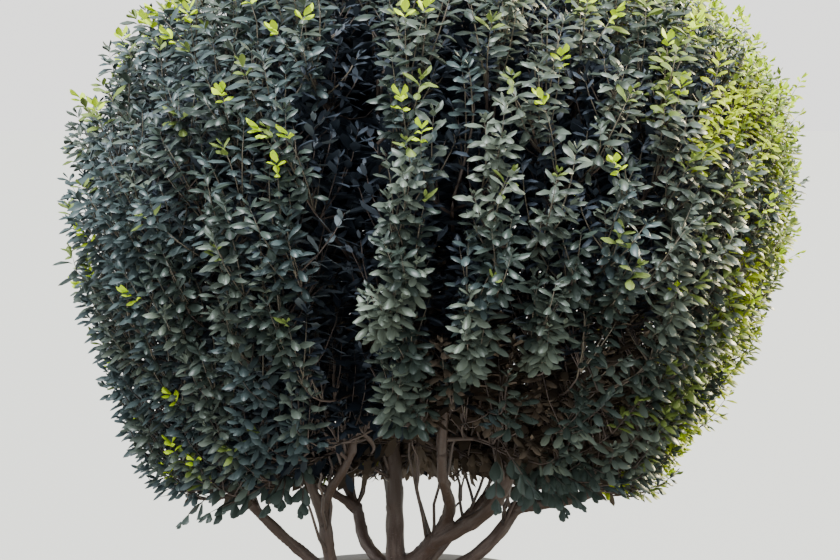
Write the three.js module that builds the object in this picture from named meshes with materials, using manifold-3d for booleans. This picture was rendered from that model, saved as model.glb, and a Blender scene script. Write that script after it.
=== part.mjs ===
// A potted evergreen shrub with glossy leaves, clipped to a broad globe that is carried on bare stems.
// Millimetres, +Z up, the front towards -Y. The origin is the centre of the pot's flat underside.
import * as THREE from "three";
import { LoftGeometry } from "three/addons/geometries/LoftGeometry.js";
import { mergeVertices } from "three/addons/utils/BufferGeometryUtils.js";
import Module from "manifold-3d";

const wasm = await Module();
wasm.setup();

// Driving dimensions
const CLEARANCE = 0.3; // gap between neighbouring solids
const SHORTEST_EDGE = 0.02; // a shorter edge, left by a join or a cut, is closed up
const SEED = 58;

const POT = {
  height: 540,
  footRadius: 285,
  footHeight: 14,
  bellyRadius: 428,
  beadRadius: 13,
  beadHeight: 448,
  collarRadius: 436,
  lipRadius: 460,
  lipThickness: 24,
  mouthRadius: 404,
  wall: 24,
  floor: 34,
  drainRadius: 12,
  drainCircle: 120,
  sides: 32,
};
const SOIL = { top: 500, edgeDrop: 14, flatRadius: 140 };

const TRUNK = {
  height: 148,
  flareRadius: 92,
  neckRadius: 57,
  topRadius: 50,
  lobes: 5,
  lobeDepth: 0.13,
  sides: 20,
};

// The clipped outline that the leaf tips reach
const CROWN = {
  offset: 60, // the crown hangs a little to the right of the pot's axis
  halfWidth: 682,
  middle: 1365,
  top: 1900,
  skirt: 795, // the height of the skirt at the sides
  frontLift: 185, // the skirt is clipped higher at the front, where the stems show
  backLift: 50,
  taper: 0.31, // share of the half width that is lost from the middle down to the skirt
  taperLean: 0.07, // the skirt is narrower on the right than on the left
  underside: 838, // the height of the underside round the centre stem
  innerRadius: 170,
};
const SECTORS = 12;
const CENTRE_RADIUS = 240; // the middle mass takes the space inside this
const CORE_INSET = 84;
const CORE_BULGE = 0.09; // how much each sector's core falls back at its sides
const MASS_GAP = 2; // half the space between neighbouring masses

const TIPS = 96; // shoots of foliage over the whole crown
const TWIG = { rootRadius: 7.5, tipRadius: 5.2, endDepth: 64, lift: 0.55 };
// The stem inside a mass: how far it starts back in its bough, and where it ends
const MASS_STEM = { back: 3, beyondCentre: 110, sectorRise: 230, centreDepth: 190 };
const LEAF = { length: 124, width: 62, thickness: 3.6, widest: 0.45, ridge: 0.36, margin: 0.16, droop: 0.13 };
// The leaves of one shoot: how far back from its end, the angle off its line, the quarter turn, and the size
const END_LEAF = { back: 2, angle: 0.12, scale: 0.8 };
const LEAF_PAIRS = [
  { back: 6, angle: 0.95, quarter: 0, scale: 1 },
  { back: 26, angle: 1.25, quarter: 1, scale: 1 },
];
const SAME_SHOOT = 50; // leaves rooted nearer than this belong together
const BARK_CLEARANCE = 8;
const STEM_FACETS = { sides: 7, rings: 5 };
const BOUGH_FACETS = { sides: 6, rings: 4 };
const TWIG_FACETS = { sides: 3, rings: 2 };

// Each bare stem leaves the trunk at its base height above the soil and at an azimuth in degrees,
// counterclockwise from +X. It runs out by its reach and up by its rise. Arc 0 is a straight run, and arc 1
// a quarter turn from level to upright.
const STEM_WAVE = 7;
const STEMS = [
  // name, azimuth, base, reach, rise, root, tip, arc, and how far from the axis it starts
  ["stem_centre", 204, 60, 17, 339, 20, 16.5, 0.2, 0],
  ["stem_right", 325, 141, 90, 79, 19, 17, 0.1, 4],
  ["stem_far_right", 347, 108, 232, 180, 15, 12, 0.58, 0],
  ["stem_back_right", 30, 98, 200, 167, 14, 12, 0.05, 0],
  ["stem_back", 96, 57, 190, 270, 14, 12, 0.6, 30],
  ["stem_mid_left", 125, 137, 163, 99, 13, 11.5, 0.88, 20],
  ["stem_far_left", 203, 70, 349, 293, 12.5, 9, 0.2, 34],
  ["stem_left", 235, 50, 241, 258, 14, 12.5, 0.9, 34],
].map(([name, azimuth, base, reach, rise, root, tip, arc, start]) => {
  return { name, azimuth, base, reach, rise, root, tip, arc, start };
});
// Each forked stem parts into boughs near its end. A bough ends where it enters the mass of its sector, at
// its entry radius and its turn in degrees off the sector's middle. Out 0 leaves along the stem, and 1 level.
const FORK_SHARE = 0.94;
const BOUGHS = [
  { name: "bough_upright", stem: "stem_right", sector: 9, entry: 268, turn: -11, root: 13, tip: 9, out: -0.4 },
  { name: "bough_right", stem: "stem_right", sector: 10, entry: 254, turn: -10, root: 15, tip: 12, out: 0.4 },
  { name: "bough_far_right", stem: "stem_far_right", sector: 11, entry: 345, root: 11.5, tip: 9, out: 0.7 },
  { name: "bough_back_right_a", stem: "stem_back_right", sector: 0, entry: 330, root: 11, tip: 9, out: 0.5 },
  { name: "bough_back_right_b", stem: "stem_back_right", sector: 1, entry: 320, root: 11, tip: 8, out: 0.3 },
  { name: "bough_back_a", stem: "stem_back", sector: 2, entry: 300, root: 10, tip: 8, out: 0.4 },
  { name: "bough_back_b", stem: "stem_back", sector: 3, entry: 300, root: 10, tip: 8, out: 0.4 },
  { name: "bough_mid_left_a", stem: "stem_mid_left", sector: 4, entry: 310, root: 9.5, tip: 8, out: 0.3 },
  { name: "bough_mid_left_b", stem: "stem_mid_left", sector: 5, entry: 310, root: 9.5, tip: 8, out: 0.5 },
  { name: "bough_left_a", stem: "stem_left", sector: 7, entry: 320, root: 11, tip: 8.5, out: 0.2 },
  { name: "bough_left_b", stem: "stem_left", sector: 8, entry: 308, turn: -12, root: 10, tip: 8, out: 0 },
];
// The middle mass is fed by the centre stem, and this sector by a stem with no fork.
const SINGLE = { stem_far_left: 6 };

const LOOKS = {
  pot: { color: 0x4a443f, roughness: 0.45, metalness: 0.1 },
  soil: { color: 0x3a2c22, roughness: 0.95, metalness: 0 },
  bark: { color: 0x8a6552, roughness: 0.8, metalness: 0 },
  foliage: { color: 0x55654c, roughness: 0.45, metalness: 0 },
};

// Small helpers
const UP = new THREE.Vector3(0, 0, 1);
const ASKEW = new THREE.Vector3(0.31, 0.67, 0.22); // lies along no twig
const TAU = Math.PI * 2;
const GOLDEN_ANGLE = Math.PI * (3 - Math.sqrt(5));
const V = (x, y, z) => new THREE.Vector3(x, y, z);
const mix = THREE.MathUtils.lerp;
const radial = (azimuth, radius, z) => V(Math.cos(azimuth) * radius, Math.sin(azimuth) * radius, z);

let seed = SEED;
function random() {
  seed = (seed + 0x6d2b79f5) | 0;
  let t = Math.imul(seed ^ (seed >>> 15), 1 | seed);
  t = (t + Math.imul(t ^ (t >>> 7), 61 | t)) ^ t;
  return ((t ^ (t >>> 14)) >>> 0) / 4294967296;
}
const vary = (share) => 1 + share * (2 * random() - 1);

// Solids: a closed geometry to a manifold and back
function solid(geometry) {
  const bare = new THREE.BufferGeometry();
  const loose = geometry.index ? geometry.toNonIndexed() : geometry;
  bare.setAttribute("position", loose.getAttribute("position"));
  const merged = mergeVertices(bare, 1e-3);
  const corners = [];
  for (let i = 0; i < merged.index.count; i += 3) {
    const [a, b, c] = merged.index.array.slice(i, i + 3);
    if (a !== b && b !== c && c !== a) corners.push(a, b, c);
  }
  const vertProperties = merged.attributes.position.array;
  const triVerts = new Uint32Array(corners);
  return new wasm.Manifold(new wasm.Mesh({ numProp: 3, vertProperties, triVerts, tolerance: SHORTEST_EDGE }));
}

function geometryOf(manifold) {
  const { vertProperties, triVerts } = manifold.getMesh();
  const geometry = new THREE.BufferGeometry();
  geometry.setAttribute("position", new THREE.BufferAttribute(vertProperties, 3));
  geometry.setIndex(new THREE.BufferAttribute(triVerts, 1));
  return geometry;
}

// The largest outer body: loose scraps and sealed hollows are dropped
function largest(manifold) {
  return manifold.decompose().reduce((best, body) => (body.volume() > best.volume() ? body : best));
}

// Made into a solid once more, which closes up the shortest edges
function meshOf(name, manifold, look) {
  const geometry = geometryOf(solid(geometryOf(manifold)));
  geometry.computeVertexNormals();
  const mesh = new THREE.Mesh(geometry, new THREE.MeshStandardMaterial(LOOKS[look]));
  mesh.name = name;
  return mesh;
}

// Pot: a turned bowl with a foot, a bead under a plain collar, and a flat lip
function bowlRadius(z) {
  const share = THREE.MathUtils.clamp((z - POT.footHeight) / (POT.beadHeight - POT.footHeight), 0, 1);
  return mix(POT.footRadius, POT.bellyRadius, Math.sin((share * Math.PI) / 2) ** 0.9);
}

function mouthRadius(z) {
  return Math.min(POT.mouthRadius, bowlRadius(z) - POT.wall);
}

function potGeometry() {
  const points = [new THREE.Vector2(0, 0), new THREE.Vector2(POT.footRadius - 6, 0)];
  const steps = 6;
  for (let i = 0; i <= steps; i++) {
    const z = mix(POT.footHeight / 2, POT.beadHeight - POT.beadRadius, i / steps);
    points.push(new THREE.Vector2(bowlRadius(z), z));
  }
  for (const turn of [-0.3, 0, 0.3]) {
    const angle = turn * Math.PI;
    const out = POT.collarRadius + POT.beadRadius * Math.cos(angle);
    points.push(new THREE.Vector2(out, POT.beadHeight + POT.beadRadius * Math.sin(angle)));
  }
  const lipFoot = POT.height - POT.lipThickness;
  points.push(new THREE.Vector2(POT.collarRadius, POT.beadHeight + POT.beadRadius + 3));
  points.push(new THREE.Vector2(POT.collarRadius + 2, lipFoot - 6));
  points.push(new THREE.Vector2(POT.lipRadius - 5, lipFoot));
  points.push(new THREE.Vector2(POT.lipRadius, lipFoot + 6));
  points.push(new THREE.Vector2(POT.lipRadius, POT.height - 6));
  points.push(new THREE.Vector2(POT.lipRadius - 7, POT.height));
  points.push(new THREE.Vector2(POT.mouthRadius + 6, POT.height));
  points.push(new THREE.Vector2(POT.mouthRadius, POT.height - 6));
  points.push(...innerWall(0), new THREE.Vector2(0, POT.floor));
  return new THREE.LatheGeometry(points, POT.sides).rotateX(Math.PI / 2);
}

// The inner wall from the soil's edge down to the floor, moved in by a gap
function innerWall(gap) {
  const steps = 5;
  const points = [];
  for (let i = 0; i <= steps; i++) {
    const z = mix(SOIL.top - SOIL.edgeDrop, POT.floor, i / steps);
    points.push(new THREE.Vector2(mouthRadius(z) - gap, z + gap));
  }
  return points;
}

function pot() {
  let body = solid(potGeometry());
  const drain = new THREE.CylinderGeometry(POT.drainRadius, POT.drainRadius, POT.floor * 3, 12);
  drain.rotateX(Math.PI / 2);
  for (let i = 0; i < 3; i++) {
    const at = radial((i * TAU) / 3 + 0.5, POT.drainCircle, 0);
    body = body.subtract(solid(drain.clone().translate(at.x, at.y, 0)));
  }
  return body;
}

function soil() {
  const edge = SOIL.top - SOIL.edgeDrop;
  const points = [new THREE.Vector2(0, POT.floor + CLEARANCE), ...innerWall(CLEARANCE).reverse()];
  points.push(new THREE.Vector2(mix(SOIL.flatRadius, POT.mouthRadius, 0.5), mix(SOIL.top, edge, 0.3)));
  points.push(new THREE.Vector2(SOIL.flatRadius, SOIL.top), new THREE.Vector2(0, SOIL.top));
  return solid(new THREE.LatheGeometry(points, POT.sides).rotateX(Math.PI / 2));
}

// Trunk: a short stool with a lobed root flare, cut flat where it meets the soil
function trunk(grow) {
  const foot = SOIL.top + CLEARANCE;
  const profile = [
    [0, TRUNK.flareRadius],
    [0.08, mix(TRUNK.neckRadius, TRUNK.flareRadius, 0.62)],
    [0.22, mix(TRUNK.neckRadius, TRUNK.flareRadius, 0.16)],
    [0.46, TRUNK.neckRadius],
    [0.76, TRUNK.topRadius],
    [0.93, TRUNK.topRadius * 0.8],
    [1, TRUNK.topRadius * 0.5],
  ];
  const sections = profile.map(([share, radius], level) => {
    const depth = TRUNK.lobeDepth * (1 - share) ** 0.7;
    return Array.from({ length: TRUNK.sides }, (_, i) => {
      const angle = (i / TRUNK.sides) * TAU;
      const lobe = 1 + depth * Math.cos(TRUNK.lobes * angle + 0.6) + 0.04 * Math.sin(2 * angle + level);
      return radial(angle, radius * lobe + grow, foot + share * TRUNK.height + (level ? grow : 0));
    });
  });
  return solid(new LoftGeometry(sections, { capStart: true, capEnd: true }));
}

// A tapering limb along a curve; grow makes it a little fatter and longer, to cut a neighbour
function limb(curve, root, tip, { sides, rings }, grow = 0) {
  const sections = [];
  for (let k = 0; k <= rings; k++) {
    const centre = curve.getPoint(k / rings);
    const along = curve.getTangent(k / rings);
    if (k === 0) centre.addScaledVector(along, -grow);
    if (k === rings) centre.addScaledVector(along, grow);
    const side = V(0, 1, 0).cross(along).normalize();
    const other = along.clone().cross(side);
    const radius = mix(root, tip, k / rings) + grow;
    sections.push(
      Array.from({ length: sides }, (_, i) => {
        const angle = (i / sides) * TAU;
        return centre
          .clone()
          .addScaledVector(side, Math.cos(angle) * radius)
          .addScaledVector(other, Math.sin(angle) * radius);
      }),
    );
  }
  return solid(new LoftGeometry(sections, { capStart: true, capEnd: true }));
}

// Crown outline: share 0 is the inner edge of the underside, 1 the top. Inset gives the same outline deeper.
const UNDERSIDE = 0.12;
const WAIST = 0.5;

function rimHeight(azimuth) {
  const facing = -Math.sin(azimuth);
  return CROWN.skirt + (facing > 0 ? CROWN.frontLift * facing ** 3 : CROWN.backLift * facing ** 2);
}

// The underside runs from the height round the centre stem out to the rim
function undersideHeight(azimuth, share, inset) {
  return mix(CROWN.underside, rimHeight(azimuth), share ** 2) + inset * 0.6;
}

function outline(share, azimuth, inset = 0) {
  const halfWidth = CROWN.halfWidth - inset;
  const taper = CROWN.taper + CROWN.taperLean * Math.cos(azimuth);
  const skirtRadius = halfWidth * (1 - taper);
  let radius;
  let z;
  if (share < UNDERSIDE) {
    radius = mix(CROWN.innerRadius, skirtRadius, share / UNDERSIDE);
    z = undersideHeight(azimuth, radius / skirtRadius, inset);
  } else if (share < WAIST) {
    const drop = 1 - (share - UNDERSIDE) / (WAIST - UNDERSIDE);
    radius = halfWidth * (1 - taper * drop ** 1.5);
    z = mix(CROWN.middle, undersideHeight(azimuth, 1, inset), drop);
  } else {
    const angle = ((share - WAIST) / (1 - WAIST)) * (Math.PI / 2);
    radius = halfWidth * Math.cos(angle);
    z = CROWN.middle + (CROWN.top - CROWN.middle - inset) * Math.sin(angle);
  }
  return radial(azimuth, radius, z).add(V(CROWN.offset, 0, 0));
}

function outwards(share, azimuth) {
  const step = 0.01;
  const high = Math.min(share + step, 1 - 1e-4);
  const along = outline(high, azimuth).sub(outline(high - 2 * step, azimuth));
  return along.cross(radial(azimuth + Math.PI / 2, 1, 0)).negate().normalize();
}

// Shares of the outline that split its area evenly
function evenShares(count) {
  const steps = 400;
  const areas = [0];
  for (let i = 0; i < steps; i++) {
    const a = outline(i / steps, 0.3);
    const b = outline((i + 1) / steps, 0.3);
    const radius = Math.hypot(a.x - CROWN.offset, a.y);
    areas.push(areas[i] + radius * a.distanceTo(b));
  }
  return Array.from({ length: count }, (_, i) => {
    const wanted = ((i + 0.5) / count) * areas[steps];
    return areas.findIndex((area) => area >= wanted) / steps;
  });
}

// Sectors: each mass keeps inside three planes, and the middle mass inside twelve
const sectorAzimuth = (sector) => ((sector + 0.5) / SECTORS) * TAU;

function inSector(point, sector, gap = MASS_GAP) {
  const turned = point.clone().sub(V(CROWN.offset, 0, 0)).applyAxisAngle(UP, -sectorAzimuth(sector));
  const half = Math.PI / SECTORS;
  const fromSide = turned.x * Math.sin(half) - Math.abs(turned.y) * Math.cos(half);
  return turned.x > CENTRE_RADIUS + gap && fromSide > gap;
}

function inCentre(point) {
  for (let sector = 0; sector < SECTORS; sector++) {
    const turned = point.clone().sub(V(CROWN.offset, 0, 0)).applyAxisAngle(UP, -sectorAzimuth(sector));
    if (turned.x > CENTRE_RADIUS - MASS_GAP) return false;
  }
  return true;
}

function sectorCore(sector) {
  const middle = sectorAzimuth(sector);
  const half = Math.PI / SECTORS;
  const inner = CENTRE_RADIUS + MASS_GAP + 2;
  const hub = V(CROWN.offset, 0, 0);
  const sections = [0, 0.12, 0.32, 0.52, 0.72, 0.88, 1].map((level) => {
    const share = mix(UNDERSIDE, 0.84, level);
    const across = (u) => {
      const face = outline(share, middle + u * half, CORE_INSET).sub(hub);
      const lump = 1 + 0.03 * Math.sin(9 * level + 5 * u + 2.1 * sector);
      const radius = Math.hypot(face.x, face.y) * (1 - CORE_BULGE * u * u) * lump;
      const angle = u * (half - (MASS_GAP + 3) / radius);
      return radial(middle + angle, radius, face.z);
    };
    const outer = [-1, -0.5, 0, 0.5, 1].map(across);
    const inside = [1, -1].map((u) => {
      const angle = u * (half - (MASS_GAP + 3) / inner);
      const z = mix(outer[2].z, undersideHeight(middle, 0.5, CORE_INSET), (1 - level) ** 3);
      return radial(middle + angle, inner / Math.cos(half), z);
    });
    return [...outer, ...inside].map((point) => point.add(hub));
  });
  return solid(new LoftGeometry(sections, { capStart: true, capEnd: true }));
}

function centreCore() {
  const widest = (CENTRE_RADIUS - MASS_GAP - 1) / Math.cos(Math.PI / SECTORS);
  const sections = [0, 0.25, 0.66, 0.84, 0.95, 1].map((level) => {
    const z = mix(CROWN.underside + CORE_INSET * 0.6, CROWN.top - CORE_INSET, level);
    const share = (z - CROWN.middle) / (CROWN.top - CROWN.middle - CORE_INSET);
    const dome = (CROWN.halfWidth - CORE_INSET) * Math.sqrt(Math.max(0, 1 - Math.max(0, share) ** 2));
    const radius = Math.max(40, Math.min(widest, dome)) * (level ? 1 : 0.8);
    return Array.from({ length: SECTORS }, (_, i) =>
      radial((i / SECTORS) * TAU, radius, z).add(V(CROWN.offset, 0, 0)),
    );
  });
  return solid(new LoftGeometry(sections, { capStart: true, capEnd: true }));
}

// Stems and boughs
function stemCurve({ azimuth, base, reach, rise, arc, start }) {
  const angle = THREE.MathUtils.degToRad(azimuth);
  const points = [];
  const steps = 10;
  for (let i = 0; i <= steps; i++) {
    const s = i / steps;
    const out = mix(s, Math.sin((s * Math.PI) / 2), arc);
    const up = mix(s, 1 - Math.cos((s * Math.PI) / 2), arc);
    const wave = STEM_WAVE * Math.sin(s * Math.PI * 2 + azimuth);
    const point = radial(angle, start + (reach - start) * out, SOIL.top + base + rise * up);
    points.push(point.add(radial(angle + Math.PI / 2, wave * s, 0)));
  }
  return new THREE.CatmullRomCurve3(points);
}

// The height of the underside of a sector's core at a radius, on the sector's middle line
function coreUnderside(sector, radius) {
  const azimuth = sectorAzimuth(sector);
  const skirt = outline(UNDERSIDE, azimuth, CORE_INSET);
  const skirtRadius = Math.hypot(skirt.x - CROWN.offset, skirt.y);
  const inner = (CENTRE_RADIUS + MASS_GAP) / Math.cos(Math.PI / SECTORS);
  const share = THREE.MathUtils.clamp((skirtRadius - radius) / (skirtRadius - inner), 0, 1);
  return mix(skirt.z, undersideHeight(azimuth, 0.5, CORE_INSET), share);
}

// The bare run of a bough, from where it leaves its stem to where it enters its mass
function boughCurve({ sector, entry, turn = 0, out }, start, tangent) {
  const azimuth = sectorAzimuth(sector) + THREE.MathUtils.degToRad(turn);
  const door = radial(azimuth, entry, coreUnderside(sector, entry)).add(V(CROWN.offset, 0, 0));
  const reach = start.distanceTo(door);
  const outward = door.clone().sub(start).setZ(0).normalize();
  const leaving = tangent.clone().lerp(outward, out).normalize();
  const arriving = UP.clone().addScaledVector(outward, 0.35).normalize();
  return new THREE.CubicBezierCurve3(
    start,
    start.clone().addScaledVector(leaving, reach * 0.4),
    door.clone().addScaledVector(arriving, -reach * 0.35),
    door,
  );
}

const shrub = new THREE.Group();
const limbs = new Map(); // each bare limb's curve, radii and fatter copy, by name
const feeds = new Map(); // the limb that feeds each sector, and "centre"

function cutBy(manifold, names) {
  let cut = manifold;
  for (const name of names) {
    const other = name === "trunk" ? trunk(CLEARANCE) : limbs.get(name).grown;
    cut = cut.subtract(other);
  }
  return largest(cut);
}

function addLimb({ name, root, tip }, curve, facets, neighbours) {
  const made = cutBy(limb(curve, root, tip, facets), neighbours);
  limbs.set(name, { curve, root, tip, grown: limb(curve, root, tip, facets, CLEARANCE) });
  shrub.add(meshOf(name, made, "bark"));
}

function growStems() {
  shrub.add(meshOf("trunk", trunk(0), "bark"));
  const before = ["trunk"];
  for (const stem of STEMS) {
    const curve = stemCurve(stem);
    addLimb(stem, curve, STEM_FACETS, before);
    before.push(stem.name);
    if (stem.name in SINGLE) feeds.set(SINGLE[stem.name], stem.name);
  }
  feeds.set("centre", "stem_centre");
  const forks = [];
  for (const bough of BOUGHS) {
    const stem = limbs.get(bough.stem);
    const start = stem.curve.getPoint(FORK_SHARE);
    const curve = boughCurve(bough, start, stem.curve.getTangent(FORK_SHARE));
    addLimb(bough, curve, BOUGH_FACETS, [bough.stem, ...forks]);
    forks.push(bough.name);
    feeds.set(bough.sector, bough.name);
  }
}

// The stem inside a mass starts a little back in its bough, which then cuts it clear of the tip
function innerStem(key) {
  const feed = limbs.get(feeds.get(key));
  const tip = feed.curve.getPoint(1);
  const along = feed.curve.getTangent(1);
  let top = V(0, 0, CROWN.top - MASS_STEM.centreDepth);
  if (key !== "centre") {
    const radius = CENTRE_RADIUS + MASS_STEM.beyondCentre;
    top = radial(sectorAzimuth(key), radius, CROWN.middle + MASS_STEM.sectorRise);
  }
  top.x += CROWN.offset;
  const third = tip.distanceTo(top) * 0.3;
  const start = tip.clone().addScaledVector(along, -MASS_STEM.back);
  const leaving = start.clone().addScaledVector(along, third);
  const curve = new THREE.CubicBezierCurve3(start, leaving, top.clone().addScaledVector(UP, -third), top);
  return { curve, radius: feed.tip };
}

// A leaf: an eight-faced blade whose margins and tip hang below its rib
function leafPoints(base, along, facing, scale) {
  const length = LEAF.length * scale;
  const width = LEAF.width * scale;
  const across = along.clone().cross(facing).normalize();
  const at = (run, side, lift) =>
    base
      .clone()
      .addScaledVector(along, run * length)
      .addScaledVector(across, side * width)
      .addScaledVector(facing, lift);
  return {
    base: at(0, 0, 0),
    tip: at(1, 0, -LEAF.droop * length),
    left: at(LEAF.widest, 0.5, -LEAF.margin * width),
    right: at(LEAF.widest, -0.5, -LEAF.margin * width),
    over: at(LEAF.ridge, 0, LEAF.thickness),
    under: at(LEAF.ridge, 0, 0),
  };
}

// The octahedron's six corners, in the places that its own corners name
function leafSolid(points) {
  const geometry = new THREE.OctahedronGeometry(1, 0);
  const position = geometry.getAttribute("position");
  for (let i = 0; i < position.count; i++) {
    const [x, y, z] = [position.getX(i), position.getY(i), position.getZ(i)];
    let to = points.over;
    if (x > 0.5) to = points.tip;
    else if (x < -0.5) to = points.base;
    else if (y > 0.5) to = points.right;
    else if (y < -0.5) to = points.left;
    else if (z < -0.5) to = points.under;
    position.setXYZ(i, to.x, to.y, to.z);
  }
  return solid(geometry);
}

// Points along every bare limb, with its radius there, to keep leaves off them
function barkSamples() {
  const steps = 24;
  const samples = [];
  for (const { curve, root, tip } of limbs.values()) {
    for (let i = 0; i <= steps; i++) {
      samples.push([curve.getPoint(i / steps), mix(root, tip, i / steps)]);
    }
  }
  return samples;
}

// The place on the mass's stem that a twig to an end point leaves from
function forkPoint(curve, end) {
  const [low, high] = [curve.v0, curve.v3];
  const span = Math.hypot(end.x - high.x, end.y - high.y);
  const share = (end.z - 0.55 * span - low.z) / (high.z - low.z);
  return curve.getPoint(THREE.MathUtils.clamp(share, 0.06, 0.94));
}

function twigPath(curve, { share, azimuth }) {
  const normal = outwards(share, azimuth);
  const heading = normal.clone().addScaledVector(UP, TWIG.lift).normalize();
  const end = outline(share, azimuth).addScaledVector(heading, -TWIG.endDepth * vary(0.14));
  const root = forkPoint(curve, end);
  const bend = end.clone().addScaledVector(heading, -0.45 * root.distanceTo(end));
  return new THREE.QuadraticBezierCurve3(root, bend, end);
}

// One leaf of a shoot, or nothing where it would leave its space, near a limb or cross another leaf
function placeLeaf(path, { back, angle, spin, scale }, clear, leaves) {
  const share = 1 - back / path.getLength();
  const axis = path.getTangent(share);
  const side = axis.clone().cross(ASKEW).normalize().applyAxisAngle(axis, spin);
  const along = axis.clone().multiplyScalar(Math.cos(angle)).addScaledVector(side, Math.sin(angle));
  const facing = axis.clone().addScaledVector(along, -axis.dot(along));
  if (facing.length() < 0.2) facing.copy(side);
  const points = leafPoints(path.getPoint(share), along.normalize(), facing.normalize(), scale);
  if (!Object.values(points).every(clear)) return null;
  const blade = leafSolid(points);
  const others = leaves.filter(({ base }) => base.distanceTo(points.base) > SAME_SHOOT);
  if (others.some((other) => !other.blade.intersect(blade).isEmpty())) return null;
  return { base: points.base, blade };
}

// A terminal leaf and crossed pairs behind it. A leaf with no room is tried again, turned and smaller.
function growLeaves(path, clear, leaves) {
  const turn = random() * Math.PI;
  const end = placeLeaf(path, { ...END_LEAF, spin: turn }, clear, leaves);
  if (end) leaves.push(end);
  for (const { back, angle, quarter, scale } of LEAF_PAIRS) {
    for (const half of [0, 1]) {
      const spin = turn + (quarter * Math.PI) / 2 + half * Math.PI;
      const ways = [
        { back, angle: angle * vary(0.1), spin, scale: scale * vary(0.08) },
        { back, angle: angle * 0.8, spin: spin + 0.5, scale: scale * 0.86 },
        { back, angle: angle * 0.8, spin: spin - 0.5, scale: scale * 0.86 },
      ];
      for (const way of ways) {
        const leaf = placeLeaf(path, way, clear, leaves);
        if (leaf) {
          leaves.push(leaf);
          break;
        }
      }
    }
  }
}

// One mass: a core, the stem inside it, twigs from that stem to the clipped outline, and their leaves
function growMass(key, core, tips, inside, bark) {
  const stem = innerStem(key);
  const wood = [core, limb(stem.curve, stem.radius, TWIG.tipRadius, BOUGH_FACETS)];
  const offBark = (point) => bark.every(([at, radius]) => at.distanceTo(point) > radius + BARK_CLEARANCE);
  const clear = (point) => inside(point) && offBark(point);
  const leaves = [];
  for (const tip of tips) {
    const path = twigPath(stem.curve, tip);
    if ([0.4, 0.6, 0.8, 1].every((share) => inside(path.getPoint(share)))) {
      wood.push(limb(path, TWIG.rootRadius, TWIG.tipRadius, TWIG_FACETS));
      growLeaves(path, clear, leaves);
    }
  }
  let mass = wasm.Manifold.union([...wood, ...leaves.map(({ blade }) => blade)]);
  for (const { grown } of limbs.values()) {
    mass = mass.subtract(grown);
  }
  return largest(mass);
}

function growCrown() {
  const bark = barkSamples();
  const tipsOf = new Map();
  evenShares(TIPS).forEach((share, i) => {
    const azimuth = (i * GOLDEN_ANGLE) % TAU;
    const sector = Math.floor((azimuth / TAU) * SECTORS);
    const key = inCentre(outline(share, azimuth, CORE_INSET)) ? "centre" : sector;
    tipsOf.set(key, [...(tipsOf.get(key) ?? []), { share, azimuth }]);
  });
  const middle = growMass("centre", centreCore(), tipsOf.get("centre"), inCentre, bark);
  shrub.add(meshOf("foliage_centre", middle, "foliage"));
  for (let sector = 0; sector < SECTORS; sector++) {
    const inside = (point) => inSector(point, sector);
    const mass = growMass(sector, sectorCore(sector), tipsOf.get(sector), inside, bark);
    const number = String(sector + 1).padStart(2, "0");
    shrub.add(meshOf(`foliage_${number}`, mass, "foliage"));
  }
}

shrub.add(meshOf("pot", pot(), "pot"), meshOf("soil", soil(), "soil"));
growStems();
growCrown();

export default shrub;
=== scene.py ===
# %% [markdown]
# This lesson dresses a potted glossy privet: one evergreen shrub with small leathery leaves, clipped to a
# broad globe that is carried on bare, branching stems. The packed model already holds the pot, the soil,
# the trunk, the stems, the boughs and a simple solid for each mass of leaves. Here they get their real
# surfaces, and the masses become what they are on the plant: branches, sprays, shoots and about a hundred
# thousand leaves.

import math

import bmesh
import bpy
import numpy as np
from mathutils import Matrix, Vector, noise
from mathutils.kdtree import KDTree


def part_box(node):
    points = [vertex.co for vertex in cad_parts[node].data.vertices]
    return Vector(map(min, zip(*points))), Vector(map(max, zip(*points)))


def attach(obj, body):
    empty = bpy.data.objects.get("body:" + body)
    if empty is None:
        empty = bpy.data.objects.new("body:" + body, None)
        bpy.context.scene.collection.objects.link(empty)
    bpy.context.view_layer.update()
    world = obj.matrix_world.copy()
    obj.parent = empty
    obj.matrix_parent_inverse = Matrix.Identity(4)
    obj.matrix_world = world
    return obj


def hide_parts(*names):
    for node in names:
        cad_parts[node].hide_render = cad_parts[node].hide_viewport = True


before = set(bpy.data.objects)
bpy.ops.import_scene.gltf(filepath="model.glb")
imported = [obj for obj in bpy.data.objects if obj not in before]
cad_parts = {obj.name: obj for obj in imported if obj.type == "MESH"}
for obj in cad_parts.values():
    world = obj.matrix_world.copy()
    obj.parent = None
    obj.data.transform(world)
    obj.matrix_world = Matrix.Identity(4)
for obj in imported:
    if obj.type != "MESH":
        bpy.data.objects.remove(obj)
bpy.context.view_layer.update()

# %% [markdown]
# Blender keeps an object apart from what it shows: a mesh, a camera or a lamp. Each thing below needs
# both. The editor's own commands would make them, but those depend on what is selected, so three short
# helpers work on the data instead. Each CAD node that a piece stands for is named when the piece is
# finished.

# %% Objects and meshes
def placed(name, data):
    """A new object in the scene that shows the data."""
    made = bpy.data.objects.new(name, data)
    bpy.context.collection.objects.link(made)
    return made


def mesh_from(bm, name):
    """The bmesh as a new mesh. The bmesh itself is freed."""
    mesh = bpy.data.meshes.new(name)
    bm.to_mesh(mesh)
    bm.free()
    return mesh


def modified_mesh(source, name):
    """A new mesh of the object as its modifiers leave it."""
    mesh = bpy.data.meshes.new_from_object(source.evaluated_get(bpy.context.evaluated_depsgraph_get()))
    mesh.name = name
    return mesh


def finished_piece(name, mesh, nodes):
    """The mesh as a piece of the model under the root body, with the nodes that it replaces hidden."""
    piece = placed(name, mesh)
    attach(piece, "root")
    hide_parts(*nodes)


# %% [markdown]
# The camera stands three metres in front of the plant at the height of the leaf globe's middle and looks
# a little down, which is how the photograph was taken. A lens of 67.5 mm on a 36 mm sensor gives its
# angle of view. The camera could be aimed by a constraint, but a plain turn about X keeps the verticals
# upright.

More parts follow.
